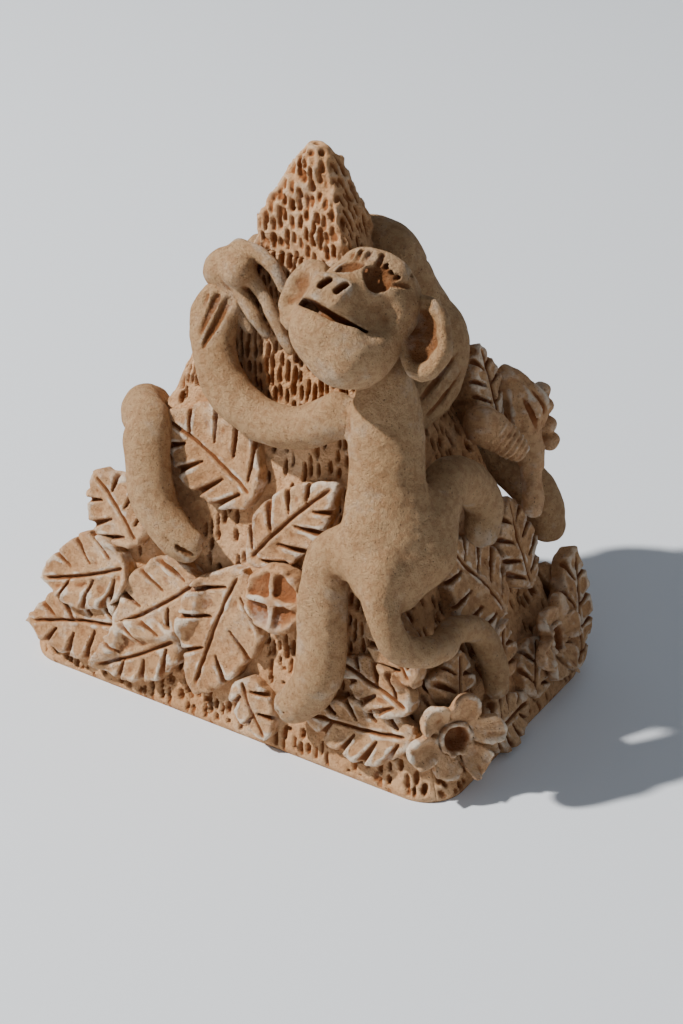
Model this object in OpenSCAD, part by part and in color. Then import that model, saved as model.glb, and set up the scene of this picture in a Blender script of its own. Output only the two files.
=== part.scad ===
// Clay tree of life: a hollow, slab-built pyramid of unglazed fired clay.
// Two monkeys hug it from opposite corners, and leaves, flowers, a fruit and
// a bud are pressed on round them. Millimetres, +Z up, origin on the ground
// under the middle of the base. The broad lit wall faces -Y.

/* [Pyramid] */
// Length of the base, along X
base_length = 164; // [150:2:176]
// Depth of the base, along Y
base_depth = 100; // [92:2:110]
// Height at which the four slopes would meet
slope_height = 186; // [176:2:196]
// Height at which the slabs stop and the solid tip begins
slab_height = 146; // [136:2:148]
// How far the tip leans to +X of the middle
tip_lean_x = 4; // [0:1:8]
// How far the tip leans to +Y of the middle
tip_lean_y = 3; // [0:1:6]
// Thickness of the clay slabs
slab_thickness = 9; // [7:0.5:10]
// Radius of the rounded corners at the ground
corner_radius = 14; // [8:1:18]

/* [Pressed-on pieces] */
// Thickness of a leaf
leaf_thickness = 3.6; // [3:0.2:4.4]
// Extra thickness of a leaf that is pressed over another one
overlap_rise = 2.6; // [2:0.2:3.2]
// Depth of the knife cuts in a leaf
cut_depth = 2; // [1:0.2:2.4]
// Length of a flower's petal
petal_length = 10; // [8:0.5:11]

/* [Monkeys] */
// Thickness of arms, legs and tails against the usual coil of clay
coil_scale = 1; // [0.9:0.05:1.1]
// Size of the heads against the usual one
head_scale = 1; // [0.9:0.05:1.1]

/* [Hidden] */

// Colours of the fired clay
sand_clay = "#c9a585";
pale_clay = "#d3b899";
warm_clay = "#bd8f6d";
red_clay = "#a8714c";

// The walls and ridges that pieces are placed on. Each is a frame: an origin,
// then u to the right, v up the slope and w out of the clay.
FRONT = 0;
RIGHT = 1;
BACK = 2;
LEFT = 3;
FRONT_LEFT = 4;
FRONT_RIGHT = 5;
BACK_RIGHT = 6;
BACK_LEFT = 7;
SIDES = 4;

half_length = base_length / 2;
half_depth = base_depth / 2;
// The slabs stand off the origin, since more clay stands out on the right and
// at the back, and the origin is under the middle of the whole piece
base_middle = [-3, -2, 0];
peak = base_middle + [tip_lean_x, tip_lean_y, slope_height];
corners = [
  for (way = [[-1, -1], [1, -1], [1, 1], [-1, 1]])
    base_middle + [way.x * half_length, way.y * half_depth, 0]
];

function unit(v) = v / norm(v);

function wall_frame(k) =
  let (a = corners[k], b = corners[(k + 1) % SIDES], u = unit(b - a))
  let (w = unit(cross(u, peak - a)))
  [(a + b) / 2, u, cross(w, u), w];

// Ridge k rises from corner k, between the wall before it and wall k
function ridge_frame(k) =
  let (v = unit(peak - corners[k]))
  let (w = unit(wall_frame((k + SIDES - 1) % SIDES)[3] + wall_frame(k)[3]))
  [corners[k], cross(v, w), v, w];

frames = [
  for (k = [0:SIDES - 1]) wall_frame(k),
  for (k = [0:SIDES - 1]) ridge_frame(k)
];

function at(place, u, v, w) =
  let (f = frames[place]) f[0] + u * f[1] + v * f[2] + w * f[3];

module on(place) {
  f = frames[place];
  multmatrix([
    [f[1].x, f[2].x, f[3].x, f[0].x],
    [f[1].y, f[2].y, f[3].y, f[0].y],
    [f[1].z, f[2].z, f[3].z, f[0].z],
    [0, 0, 0, 1]
  ])
    children();
}

// ---- Pyramid slabs ----

// Points on each half of a rounded corner
CORNER_STEPS = 3;
CORNER_TURN = 45;

// Middle and half sizes of the outer outline at height z
function outline_middle(z) =
  [base_middle.x + tip_lean_x * z / slope_height, base_middle.y + tip_lean_y * z / slope_height];
function outline_half(z) = [half_length, half_depth] * (1 - z / slope_height);

// Half of a rounded corner k, from turn_a to turn_b degrees of its quarter turn
function corner_arc(k, z, turn_a, turn_b) =
  let (c = outline_middle(z), h = outline_half(z))
  let (r = corner_radius * (1 - z / slope_height) + 0.6)
  let (sx = k == 1 || k == 2 ? 1 : -1, sy = k > 1 ? 1 : -1)
  let (m = [c.x + sx * (h.x - r), c.y + sy * (h.y - r)])
  [
    for (i = [0:CORNER_STEPS])
      let (turn = 180 + 90 * k + turn_a + (turn_b - turn_a) * i / CORNER_STEPS)
      [m.x + r * cos(turn), m.y + r * sin(turn), z]
  ];

// Distance from the outline in to the hollow, measured level
inset_x = slab_thickness / cos(atan2(half_length, slope_height));
inset_y = slab_thickness / cos(atan2(half_depth, slope_height));

function inner_corner(k, z) =
  let (c = outline_middle(z), h = outline_half(z))
  let (sx = k == 1 || k == 2 ? 1 : -1, sy = k > 1 ? 1 : -1)
  [c.x + sx * (h.x - inset_x), c.y + sy * (h.y - inset_y), z];

// Outline of wall k at height z, from one mitre round the outside to the next
function slab_outline(k, z) = concat(
  corner_arc(k, z, CORNER_TURN, 2 * CORNER_TURN),
  corner_arc((k + 1) % SIDES, z, 0, CORNER_TURN),
  [inner_corner((k + 1) % SIDES, z), inner_corner(k, z)]
);

// Closed solid through a stack of outlines that have equal numbers of points
module loft(outlines) {
  n = len(outlines[0]);
  last = len(outlines) - 1;
  points = [for (o = outlines) for (p = o) p];
  sides = [
    for (s = [0:last - 1], i = [0:n - 1])
      let (a = s * n + i, b = s * n + (i + 1) % n)
      for (t = [[a, b + n, b], [a, a + n, b + n]]) t
  ];
  floor_face = [for (i = [0:n - 1]) i];
  roof_face = [for (i = [n - 1:-1:0]) last * n + i];
  polyhedron(points, concat(sides, [floor_face, roof_face]), convexity = 4);
}

module slab(k) {
  loft([slab_outline(k, 0), slab_outline(k, slab_height)]);
}

module front_wall() {
  color(warm_clay) slab(FRONT);
}

module right_wall() {
  color(warm_clay) slab(RIGHT);
}

module back_wall() {
  color(warm_clay) slab(BACK);
}

module left_wall() {
  color(warm_clay) slab(LEFT);
}

// The solid tip closes the slabs and ends in a small knob
knob_base = slope_height - 14;
knob_shoulder = slope_height - 10;
knob_top = slope_height - 7;
SHOULDER_SHARE = 0.95;
TOP_SHARE = 0.55;
function whole_outline(z) = [for (k = [0:SIDES - 1]) each corner_arc(k, z, 0, 2 * CORNER_TURN)];
function shrunk(points, c, share, z) = [
  for (p = points) [c.x + (p.x - c.x) * share, c.y + (p.y - c.y) * share, z]
];

module solid_tip() {
  neck = whole_outline(knob_base);
  middle = outline_middle(knob_base);
  color(red_clay)
    loft([
      whole_outline(slab_height),
      neck,
      shrunk(neck, middle, SHOULDER_SHARE, knob_shoulder),
      shrunk(neck, middle, TOP_SHARE, knob_top)
    ]);
}

// ---- Coils of clay: torsos, limbs and tails ----
// A route is a list of [place, u, v, w, half width, half height].

COIL_SIDES = 12;
STEPS_PER_SPAN = 3;
CAP_TURNS = [70, 35];

// Pushes a point that lies inside the pyramid out to the nearest wall
function pressed(p, rest) =
  let (depths = [for (k = [0:SIDES - 1]) (p - frames[k][0]) * frames[k][3]])
  let (nearest = max(depths), k = search(nearest, depths)[0])
  nearest >= rest ? p : p + (rest - nearest) * frames[k][3];

function as_state(s) = concat(at(s[0], s[1], s[2], s[3]), frames[s[0]][3], [s[4], s[5]] * coil_scale);
function spot(state) = [state[0], state[1], state[2]];
function facing(state) = [state[3], state[4], state[5]];

function between(a, b, c, d, t) =
  0.5 * (2 * b + (c - a) * t + (2 * a - 5 * b + 4 * c - d) * t * t + (3 * b - a - 3 * c + d) * t * t * t);

function smoothed(route) =
  let (s = [for (p = route) as_state(p)], n = len(s))
  [
    for (i = [0:n - 2], j = [0:STEPS_PER_SPAN - 1])
      between(s[max(i - 1, 0)], s[i], s[i + 1], s[min(i + 2, n - 1)], j / STEPS_PER_SPAN),
    s[n - 1]
  ];

function ring(middle, along, out, half_width, half_height, rest) =
  let (side = unit(cross(along, out)), up = cross(side, along))
  [
    for (j = [0:COIL_SIDES - 1])
      let (turn = -360 * j / COIL_SIDES)
      pressed(middle + half_width * cos(turn) * side + half_height * sin(turn) * up, rest)
  ];

module coil(route, rest = 0) {
  s = smoothed(route);
  n = len(s);
  along = [for (i = [0:n - 1]) unit(spot(s[min(i + 1, n - 1)]) - spot(s[max(i - 1, 0)]))];
  function body_ring(i) = ring(spot(s[i]), along[i], facing(s[i]), s[i][6], s[i][7], rest);
  function cap_ring(i, turn, way) =
    ring(
      spot(s[i]) + way * along[i] * s[i][7] * sin(turn), along[i], facing(s[i]),
      s[i][6] * cos(turn), s[i][7] * cos(turn), rest
    );
  loft(concat(
    [for (turn = CAP_TURNS) cap_ring(0, turn, -1)],
    [for (i = [0:n - 1]) body_ring(i)],
    [for (i = [1:len(CAP_TURNS)]) cap_ring(n - 1, CAP_TURNS[len(CAP_TURNS) - i], 1)]
  ));
}

// Narrow wedge cut with a knife, from a to b on a place, down to height w
module knife_cut(place, a, b, cut_width, w) {
  way = unit(b - a);
  across = [-way.y, way.x] * cut_width / 2;
  on(place)
    translate([0, 0, w])
      linear_extrude(40)
        polygon([a, b - across, b + across]);
}

// ---- Monkeys ----

module front_torso_coil() {
  coil([
    [FRONT_RIGHT, 4, 131, 14, 7, 7],
    [FRONT_RIGHT, 2, 118, 11, 11, 9],
    [FRONT_RIGHT, -1, 100, 10, 11.5, 9],
    [FRONT_RIGHT, -3, 83, 10, 15, 10],
    [FRONT_RIGHT, -4, 75, 9, 11, 8]
  ]);
}

module back_torso_coil() {
  coil([
    [BACK, 23, 99, 12, 7, 7],
    [BACK, 25, 89, 9, 11, 9],
    [BACK, 29, 72, 8, 12, 9],
    [BACK, 33, 58, 8, 14, 10],
    [BACK, 35, 50, 7, 10, 8]
  ]);
}

module front_monkey_torso() {
  color(sand_clay) front_torso_coil();
}

module back_monkey_torso() {
  color(sand_clay) back_torso_coil();
}

SKULL = 15;
MUZZLE = 11;
JAW = 10;
EYE_SOCKET = 4.5;

// Blunt head with two eye sockets, two nostrils and a straight mouth.
// It is drawn with the skull at the origin and the muzzle to +Z.
module monkey_head(jaw_side) {
  scale(head_scale)
    difference() {
      hull() {
        sphere(SKULL, $fn = 24);
        translate([jaw_side * 6, 0, 15]) sphere(MUZZLE, $fn = 24);
        translate([jaw_side * 4, -14, 7]) sphere(JAW, $fn = 24);
      }
      for (side = [-1, 1])
        translate([side * 6 + jaw_side, 11, 13]) sphere(EYE_SOCKET, $fn = 12);
      for (side = [-1, 1])
        translate([jaw_side * 7 + side * 3, 5, 20]) cylinder(h = 10, r = 1.2);
      translate([jaw_side * 7 - 9, -3, 22]) cube([18, 1.8, 10]);
    }
}

module at_front_head() {
  on(FRONT_RIGHT)
    translate([0, 151, 20])
      rotate([-12, -20, -14])
        children();
}

module at_back_head() {
  on(BACK)
    translate([21, 118, 17])
      rotate([-8, 10, 6])
        children();
}

module front_monkey_head() {
  color(pale_clay) at_front_head() monkey_head(-1);
}

module back_monkey_head() {
  color(pale_clay)
    difference() {
      at_back_head() monkey_head(0.5);
      back_torso_coil();
    }
}

// Oval cupped ear
EAR_HALF_WIDTH = 8;
EAR_HALF_HEIGHT = 11;
EAR_THICKNESS = 4.5;
EAR_RIM = 2.6;

function oval(half_width, half_height) = [
  for (turn = [0:15:345]) [half_width * cos(turn), half_height * sin(turn)]
];

module ear() {
  scale(head_scale)
    difference() {
      linear_extrude(EAR_THICKNESS)
        polygon(oval(EAR_HALF_WIDTH, EAR_HALF_HEIGHT));
      translate([0, 0, EAR_THICKNESS / 2])
        linear_extrude(EAR_THICKNESS)
          polygon(oval(EAR_HALF_WIDTH - EAR_RIM, EAR_HALF_HEIGHT - EAR_RIM));
    }
}

module front_monkey_left_ear() {
  color(pale_clay)
    difference() {
      on(FRONT_RIGHT)
        translate([-15, 157, 14])
          rotate([0, 0, 20])
            ear();
      at_front_head() sphere(SKULL * head_scale);
    }
}

module front_monkey_right_ear() {
  color(pale_clay)
    difference() {
      on(FRONT_RIGHT)
        translate([16, 141, 16])
          rotate([0, 8, -12])
            ear();
      at_front_head() sphere(SKULL * head_scale);
    }
}

module back_monkey_left_ear() {
  color(pale_clay)
    difference() {
      on(BACK)
        translate([2, 117, 13])
          rotate([0, 0, 10])
            ear();
      at_back_head() sphere(SKULL * head_scale);
    }
}

module back_monkey_right_ear() {
  color(pale_clay)
    difference() {
      on(BACK)
        translate([40, 119, 13])
          rotate([0, 0, -10])
            ear();
      at_back_head() sphere(SKULL * head_scale);
    }
}

// Arm across the front wall, with its hand round the front left ridge
module front_monkey_left_arm() {
  color(sand_clay)
    difference() {
      coil([
        [FRONT, 30, 112, 8, 7, 6.5],
        [FRONT, 18, 105, 8, 6.5, 6.5],
        [FRONT, 3, 104, 8, 6.5, 6.5],
        [FRONT, -10, 111, 8, 7, 6.5],
        [FRONT, -16, 121, 7, 7, 6],
        [FRONT, -19, 129, 5, 8.5, 5],
        [FRONT, -18, 134, 3, 7.5, 4]
      ]);
      front_torso_coil();
      knife_cut(FRONT, [-19, 126], [-24, 142], 2, 3);
      knife_cut(FRONT, [-17, 126], [-19, 144], 2, 3);
      knife_cut(FRONT, [-14, 126], [-14, 143], 2, 3);
    }
}

// Arm behind the head, with its hand on the right wall
module front_monkey_right_arm() {
  color(sand_clay)
    difference() {
      coil([
        [RIGHT, -20, 122, 8, 7, 6],
        [RIGHT, -11, 130, 7, 6.5, 6],
        [RIGHT, -5, 141, 6, 6.5, 6],
        [RIGHT, -4, 150, 4, 7.5, 4.5],
        [RIGHT, -4, 156, 3, 6.5, 3.5]
      ]);
      front_torso_coil();
      knife_cut(RIGHT, [-6, 148], [-8, 162], 2, 2);
      knife_cut(RIGHT, [-2, 148], [-1, 162], 2, 2);
    }
}

module front_monkey_left_leg() {
  color(sand_clay)
    difference() {
      coil([
        [FRONT, 47, 77, 11, 8, 7],
        [FRONT, 37, 70, 11, 7.5, 7],
        [FRONT, 36, 58, 11, 7.5, 7],
        [FRONT, 38, 45, 10.5, 7.5, 7],
        [FRONT, 38, 33, 10, 7.5, 6.5],
        [FRONT, 34, 25, 8, 7, 5],
        [FRONT, 29, 20, 7, 5.5, 4]
      ]);
      front_torso_coil();
      knife_cut(FRONT, [34, 21], [25, 16], 2, 6);
    }
}

module front_monkey_right_leg() {
  color(sand_clay)
    difference() {
      coil([
        [RIGHT, -30, 76, 12, 8, 7],
        [RIGHT, -21, 86, 12, 7.5, 7],
        [RIGHT, -9, 90, 11, 7.5, 7],
        [RIGHT, 2, 84, 10, 7, 6.5],
        [RIGHT, 6, 76, 9, 6.5, 6],
        [RIGHT, 3, 70, 8, 6, 5]
      ]);
      front_torso_coil();
    }
}

module front_monkey_tail() {
  color(pale_clay)
    difference() {
      coil([
        [FRONT_RIGHT, -8, 77, 17, 5, 5],
        [FRONT_RIGHT, -10, 66, 16, 4.8, 4.8],
        [FRONT_RIGHT, -6, 54, 13, 4.6, 4.6],
        [RIGHT, -37, 49, 9, 4.5, 4.5],
        [RIGHT, -25, 49, 7, 4.4, 4.4],
        [RIGHT, -14, 43, 7, 4.3, 4.3],
        [RIGHT, -12, 32, 7, 4.2, 4.2],
        [RIGHT, -13, 24, 6, 3.6, 3.6]
      ]);
      front_torso_coil();
    }
}

// Arm round the left wall, with long fingers over the front left ridge
module back_monkey_left_arm() {
  color(pale_clay)
    difference() {
      coil([
        [BACK_LEFT, 3, 99, 7, 7, 6.5],
        [LEFT, -15, 112, 7, 6.5, 6.5],
        [LEFT, -7, 126, 6, 6.5, 6.5],
        [LEFT, 1, 141, 5, 6.5, 6.5],
        [FRONT_LEFT, -2, 158, 3, 8, 6.5],
        [FRONT_LEFT, 6, 159, 2, 9, 5.5],
        [FRONT, -5, 149, 4, 9, 4.5],
        [FRONT, 1, 139, 3.5, 9, 3.5],
        [FRONT, 5, 131, 2, 7, 2.5]
      ]);
      knife_cut(FRONT, [-5, 150], [5, 125], 2.2, 2);
      knife_cut(FRONT, [0, 151], [10, 127], 2.2, 2);
    }
}

// Arm over the back wall and down the back right ridge
module back_monkey_right_arm() {
  color(pale_clay)
    difference() {
      coil([
        [BACK, 13, 90, 8, 7, 6.5],
        [BACK, -6, 102, 7, 6.5, 6.5],
        [BACK, -13, 122, 6.5, 6.5, 6.5],
        [BACK, -10, 146, 6, 7, 6.5],
        [BACK_RIGHT, 2, 161, 2, 7.5, 7],
        [BACK_RIGHT, 0, 150, 2.5, 8, 7],
        [BACK_RIGHT, 0, 138, 3, 8.5, 7],
        [RIGHT, 19, 125, 6, 9, 6.5],
        [RIGHT, 8, 116, 5, 9, 5],
        [RIGHT, -1, 112, 3, 7, 3]
      ]);
      back_torso_coil();
      knife_cut(RIGHT, [12, 119], [-10, 112], 2.4, 2);
      knife_cut(RIGHT, [14, 113], [-6, 105], 2.4, 2);
    }
}

// Leg round the left wall, bent over the front left ridge and down the front
module back_monkey_left_leg() {
  color(pale_clay)
    coil([
      [BACK_LEFT, 0, 60, 7, 8, 7],
      [LEFT, -20, 64, 8, 7.5, 7],
      [LEFT, 0, 76, 7, 7.5, 7],
      [LEFT, 16, 92, 6, 7.5, 7],
      [FRONT_LEFT, 0, 101, 2.5, 7.5, 6.5],
      [FRONT, -37, 92, 6, 7.5, 6.5],
      [FRONT, -35, 83, 8, 8, 6.5],
      [FRONT, -30, 69, 8, 7.5, 6.5],
      [FRONT, -22, 61, 7.5, 7, 5.5],
      [FRONT, -17, 58, 7, 6, 4]
    ]);
}

// Leg over the back wall, with the knee out past the back right ridge
module back_monkey_right_leg() {
  color(pale_clay)
    difference() {
      coil([
        [BACK, 19, 58, 9, 8, 7],
        [BACK, 0, 72, 9, 7.5, 7],
        [BACK, -20, 80, 9, 7.5, 7],
        [BACK, -38, 76, 9, 7.5, 7],
        [BACK_RIGHT, 6, 64, 7, 7, 7],
        [BACK_RIGHT, 5, 52, 6, 6.5, 6]
      ]);
      back_torso_coil();
    }
}

module back_monkey_tail() {
  color(pale_clay)
    difference() {
      coil([
        [BACK, 37, 50, 15, 5, 5],
        [BACK, 46, 38, 11, 4.8, 4.8],
        [BACK, 58, 27, 8, 4.6, 4.6],
        [BACK_LEFT, 0, 22, 5, 4.5, 4.5],
        [LEFT, -32, 18, 6.5, 4.4, 4.4],
        [LEFT, -20, 20, 6.5, 4.2, 4.2],
        [LEFT, -13, 28, 6, 3.6, 3.6]
      ]);
      back_torso_coil();
    }
}

// ---- Leaves ----
// [place, u, v of the stalk end, turn, length, half width on the left,
//  half width on the right, cuts on each side, layer,
//  leaves that it is pressed over or against]

front_leaves = [
  [FRONT, 3, 78, 156, 41, 13, 17, 4, 0, []],
  [FRONT, 4, 58, 50, 42, 11, 9, 4, 1, [0]],
  [FRONT, 2, 54, -104, 45, 14, 14, 3, 1, [1, 3]],
  [FRONT, -12, 47, -141, 39, 12, 13, 3, 0, []],
  [FRONT, -37, 52, 138, 27, 12, 12, 3, 0, []],
  [FRONT, -40, 43, -158, 36, 12, 12, 3, 1, [3, 4, 6]],
  [FRONT, -38, 23, -166, 40, 12, 12, 4, 0, [3]],
  [FRONT, -17, 26, -149, 37, 10, 10, 3, 1, [2, 3, 6]],
  [FRONT, 8, 21, -57, 21, 7, 8, 2, 0, []],
  [FRONT, 69, 22, -174, 38, 12, 8, 4, 0, []],
  [FRONT, 67, 30, 165, 30, 7, 7, 3, 1, [9, 11]],
  [FRONT, 66, 38, 130, 31, 8, 6, 3, 0, []]
];

right_leaves = [
  [RIGHT, 7, 39, 120, 36, 16, 15, 4, 0, []],
  [RIGHT, 24, 40, 86, 30, 11, 10, 4, 1, [0]],
  [RIGHT, 27, 92, 80, 27, 8, 7, 4, 0, []],
  [RIGHT, -30, 26, 58, 17, 10, 9, 2, 0, []],
  [RIGHT, -22, 12, -4, 27, 8, 10, 4, 0, []],
  [RIGHT, 7, 9, 54, 20, 8, 8, 2, 0, [4]],
  [RIGHT, 34, 5, 62, 40, 9, 9, 4, 0, []],
  [RIGHT, -4, 22, 64, 18, 8, 8, 2, 1, [0, 4]]
];

left_leaves = [
  [LEFT, 10, 60, -92, 38, 12, 12, 4, 0, []],
  [LEFT, -9, 56, -112, 28, 10, 10, 4, 1, [0]],
  [LEFT, 30, 32, -118, 27, 9, 10, 3, 0, [0]]
];

back_leaves = [
  [BACK, -8, 60, -76, 42, 13, 13, 4, 0, []],
  [BACK, -28, 62, -112, 44, 13, 14, 4, 1, [0, 3]],
  [BACK, 34, 18, 8, 32, 9, 9, 3, 0, []],
  [BACK, -44, 32, -165, 28, 9, 9, 4, 0, []],
  [BACK, 6, 34, -22, 34, 10, 10, 4, 1, [0, 2]]
];

LEAF_STEPS = 9;
// Narrowing of a leaf towards its tip
LEAF_SHAPE = 0.8;
VEIN_WIDTH = 0.9;
// Widest part of a knife cut
CUT_WIDTH = 2.2;
// Share of the half width that a cut crosses
CUT_INNER = 0.28;
CUT_OUTER = 1.2;

function leaf_half(t) = pow(sin(180 * pow(t, LEAF_SHAPE)), 0.75);

function leaf_outline(length, left, right) = concat(
  [for (i = [0:LEAF_STEPS]) let (t = i / LEAF_STEPS) [t * length, -right * leaf_half(t)]],
  [for (i = [LEAF_STEPS - 1:-1:1]) let (t = i / LEAF_STEPS) [t * length, left * leaf_half(t)]]
);

function leaf_height(l) = leaf_thickness + l[8] * overlap_rise;

// Uncut leaf, taken down to a depth below the wall's face
module leaf_blank(l, depth) {
  on(l[0])
    translate([l[1], l[2], -depth])
      rotate(l[3])
        linear_extrude(leaf_height(l) + depth)
          polygon(leaf_outline(l[4], l[5], l[6]));
}

// Knife cuts that slant from the vein to the edge, and the vein itself
module leaf_cuts(l) {
  length = l[4];
  cuts = l[7];
  on(l[0])
    translate([l[1], l[2], leaf_height(l) - cut_depth])
      rotate(l[3]) {
        translate([length * 0.06, -VEIN_WIDTH / 2, cut_depth / 2])
          cube([length * 0.84, VEIN_WIDTH, cut_depth]);
        for (side = [-1, 1], i = [1:cuts]) {
          t = i / (cuts + 1);
          half = (side > 0 ? l[5] : l[6]) * leaf_half(t);
          inner = [length * (t - 0.07), side * half * CUT_INNER];
          outer = [length * (t + 0.05), side * half * CUT_OUTER];
          spread = [CUT_WIDTH / 2, 0];
          linear_extrude(cut_depth + 1)
            polygon([inner, outer - spread, outer + spread]);
        }
      }
}

// A leaf takes the shape of the leaves and the fruit that it is pressed against
module leaf(group, i) {
  color(i % 2 == 0 ? sand_clay : warm_clay)
    difference() {
      leaf_blank(group[i], 0);
      for (other = group[i][9])
        leaf_blank(group[other], 1);
      leaf_cuts(group[i]);
      if (group[i][0] == FRONT)
        at_fruit()
          translate([0, 0, -1])
            cylinder(h = FRUIT_HEIGHT, r = FRUIT_RADIUS);
    }
}

// ---- Flowers, fruit and buds ----

PETALS = 7;
CUP_RADIUS = 5;
CUP_HOLE = 3;
CUP_HEIGHT = 7;
PETAL_TILT = 20;
PETAL_THICKNESS = 3;

module petals() {
  for (i = [0:PETALS - 1])
    rotate(i * 360 / PETALS)
      translate([CUP_RADIUS + 1, 0, CUP_HEIGHT - 4])
        rotate([0, -PETAL_TILT, 0])
          linear_extrude(PETAL_THICKNESS)
            polygon([
              [0, -2.2], [petal_length * 0.7, -5], [petal_length, -3.6],
              [petal_length, 3.6], [petal_length * 0.7, 5], [0, 2.2]
            ]);
}

module cup() {
  rotate_extrude()
    polygon([
      [0, 0], [CUP_RADIUS, 0], [CUP_RADIUS, CUP_HEIGHT],
      [CUP_HOLE, CUP_HEIGHT], [CUP_HOLE * 0.6, 2], [0, 2]
    ]);
}

module at_corner_flower() {
  on(FRONT_RIGHT)
    translate([8, 23, -7])
      rotate([14, 6, 0])
        children();
}

module corner_flower_petals() {
  color(pale_clay) at_corner_flower() petals();
}

module corner_flower_cup() {
  color(red_clay) at_corner_flower() cup();
}

module at_side_flower() {
  on(RIGHT)
    translate([24, 21, 1])
      rotate([6, 8, 0])
        children();
}

module side_flower_petals() {
  color(sand_clay) at_side_flower() petals();
}

module side_flower_cup() {
  color(red_clay) at_side_flower() cup();
}

// Round flat fruit with four seed hollows pressed into its face
FRUIT_RADIUS = 11;
FRUIT_HEIGHT = 9;
SEED_HOLLOWS = 4;
SEED_RADIUS = 4;

module at_fruit() {
  on(FRONT)
    translate([17, 50, 0])
      children();
}

module fruit() {
  color(pale_clay)
    at_fruit()
      difference() {
        rotate_extrude()
          polygon([
            [0, 0], [FRUIT_RADIUS - 2, 0], [FRUIT_RADIUS, 3], [FRUIT_RADIUS, 6],
            [FRUIT_RADIUS - 2, FRUIT_HEIGHT], [0, FRUIT_HEIGHT - 1]
          ]);
        for (i = [0:SEED_HOLLOWS - 1])
          rotate(45 + i * 360 / SEED_HOLLOWS)
            translate([5, 0, FRUIT_HEIGHT + 1.5])
              sphere(SEED_RADIUS);
      }
}

// Closed bud that stands off the right wall
module cone_bud() {
  color(sand_clay)
    coil([
      [RIGHT, 17, 101, 6, 7, 6],
      [RIGHT, 19, 97, 9, 8, 7.5],
      [RIGHT, 22, 92, 12, 7, 6.5],
      [RIGHT, 24, 86, 15, 5, 4.5]
    ]);
}

// Bell-shaped bloom on a stalk, by the back right ridge
module bell_bloom() {
  color(warm_clay)
    coil([
      [RIGHT, 29, 64, 10, 4.5, 4.5],
      [RIGHT, 34, 72, 9.5, 5, 5],
      [RIGHT, 38, 80, 9, 7, 6.5],
      [BACK_RIGHT, 5, 92, 14, 9, 8],
      [BACK_RIGHT, 6, 101, 16, 8.5, 7.5],
      [BACK_RIGHT, 6, 107, 15, 6, 5]
    ]);
}

FRINGE_BEADS = 4;
FRINGE_BEAD = 3.2;

module bell_bloom_fringe() {
  color(red_clay)
    on(BACK_RIGHT)
      for (i = [0:FRINGE_BEADS - 1])
        translate([9 - i * 1.5, 92 - i * 5, 23 - i * 1.4])
          sphere(FRINGE_BEAD, $fn = 20);
}

front_wall();
right_wall();
back_wall();
left_wall();
solid_tip();
front_monkey_torso();
front_monkey_head();
front_monkey_left_ear();
front_monkey_right_ear();
front_monkey_left_arm();
front_monkey_right_arm();
front_monkey_left_leg();
front_monkey_right_leg();
front_monkey_tail();
back_monkey_torso();
back_monkey_head();
back_monkey_left_ear();
back_monkey_right_ear();
back_monkey_left_arm();
back_monkey_right_arm();
back_monkey_left_leg();
back_monkey_right_leg();
back_monkey_tail();
for (i = [0:len(front_leaves) - 1])
  leaf(front_leaves, i);
for (i = [0:len(right_leaves) - 1])
  leaf(right_leaves, i);
for (i = [0:len(left_leaves) - 1])
  leaf(left_leaves, i);
for (i = [0:len(back_leaves) - 1])
  leaf(back_leaves, i);
corner_flower_petals();
corner_flower_cup();
side_flower_petals();
side_flower_cup();
fruit();
cone_bud();
bell_bloom();
bell_bloom_fringe();
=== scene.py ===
import math
from collections import namedtuple

import bpy
import numpy as np
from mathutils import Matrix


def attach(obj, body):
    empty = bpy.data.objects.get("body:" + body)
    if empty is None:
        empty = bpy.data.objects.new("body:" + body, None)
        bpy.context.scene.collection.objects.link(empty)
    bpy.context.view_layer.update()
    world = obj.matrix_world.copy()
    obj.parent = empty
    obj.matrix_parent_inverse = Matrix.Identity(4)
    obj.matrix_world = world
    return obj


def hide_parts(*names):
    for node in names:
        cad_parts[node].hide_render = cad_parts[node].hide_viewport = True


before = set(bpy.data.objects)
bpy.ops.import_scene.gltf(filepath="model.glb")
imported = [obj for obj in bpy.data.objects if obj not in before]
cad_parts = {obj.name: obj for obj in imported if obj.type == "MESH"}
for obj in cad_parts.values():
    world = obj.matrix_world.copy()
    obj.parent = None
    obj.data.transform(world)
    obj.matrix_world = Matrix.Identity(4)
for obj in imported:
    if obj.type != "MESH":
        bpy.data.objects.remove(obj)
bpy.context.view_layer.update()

import openvdb
from mathutils import Vector

MM = 0.001
# Voxel sizes, and the spacing of points on the walls, in millimetres
FINE = 0.62
FINE_HEAD = 0.48
FINE_THIN = FINE * 0.9
FINE_CUP = FINE * 0.8
FINE_COIL = FINE * 1.15
WALL_SPACING = 0.62
# Value of a field where nothing is near
FAR = 9.0

# ---- Camera and light ----

camera_data = bpy.data.cameras.new("camera")
camera_data.sensor_fit = "HORIZONTAL"
camera_data.sensor_width = 24
camera_data.lens = 75
camera_data.clip_start = 0.01
camera = bpy.data.objects.new("camera", camera_data)
camera.location = (0.326, -0.491, 0.395)
camera.rotation_euler = (math.radians(60), 0, math.radians(32.8))
bpy.context.collection.objects.link(camera)
bpy.context.scene.camera = camera

LAMP_TARGET = np.array([0, 0, 0.08])


def lamp(name, place, size, power, colour):
    data = bpy.data.lights.new(name, "AREA")
    data.shape = "DISK"
    data.size = size
    data.energy = power
    data.color = colour
    obj = bpy.data.objects.new(name, data)
    obj.location = place
    aim = LAMP_TARGET - np.array(obj.location, float)
    obj.rotation_euler = Vector(aim).to_track_quat("-Z", "Y").to_euler()
    bpy.context.collection.objects.link(obj)


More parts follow.
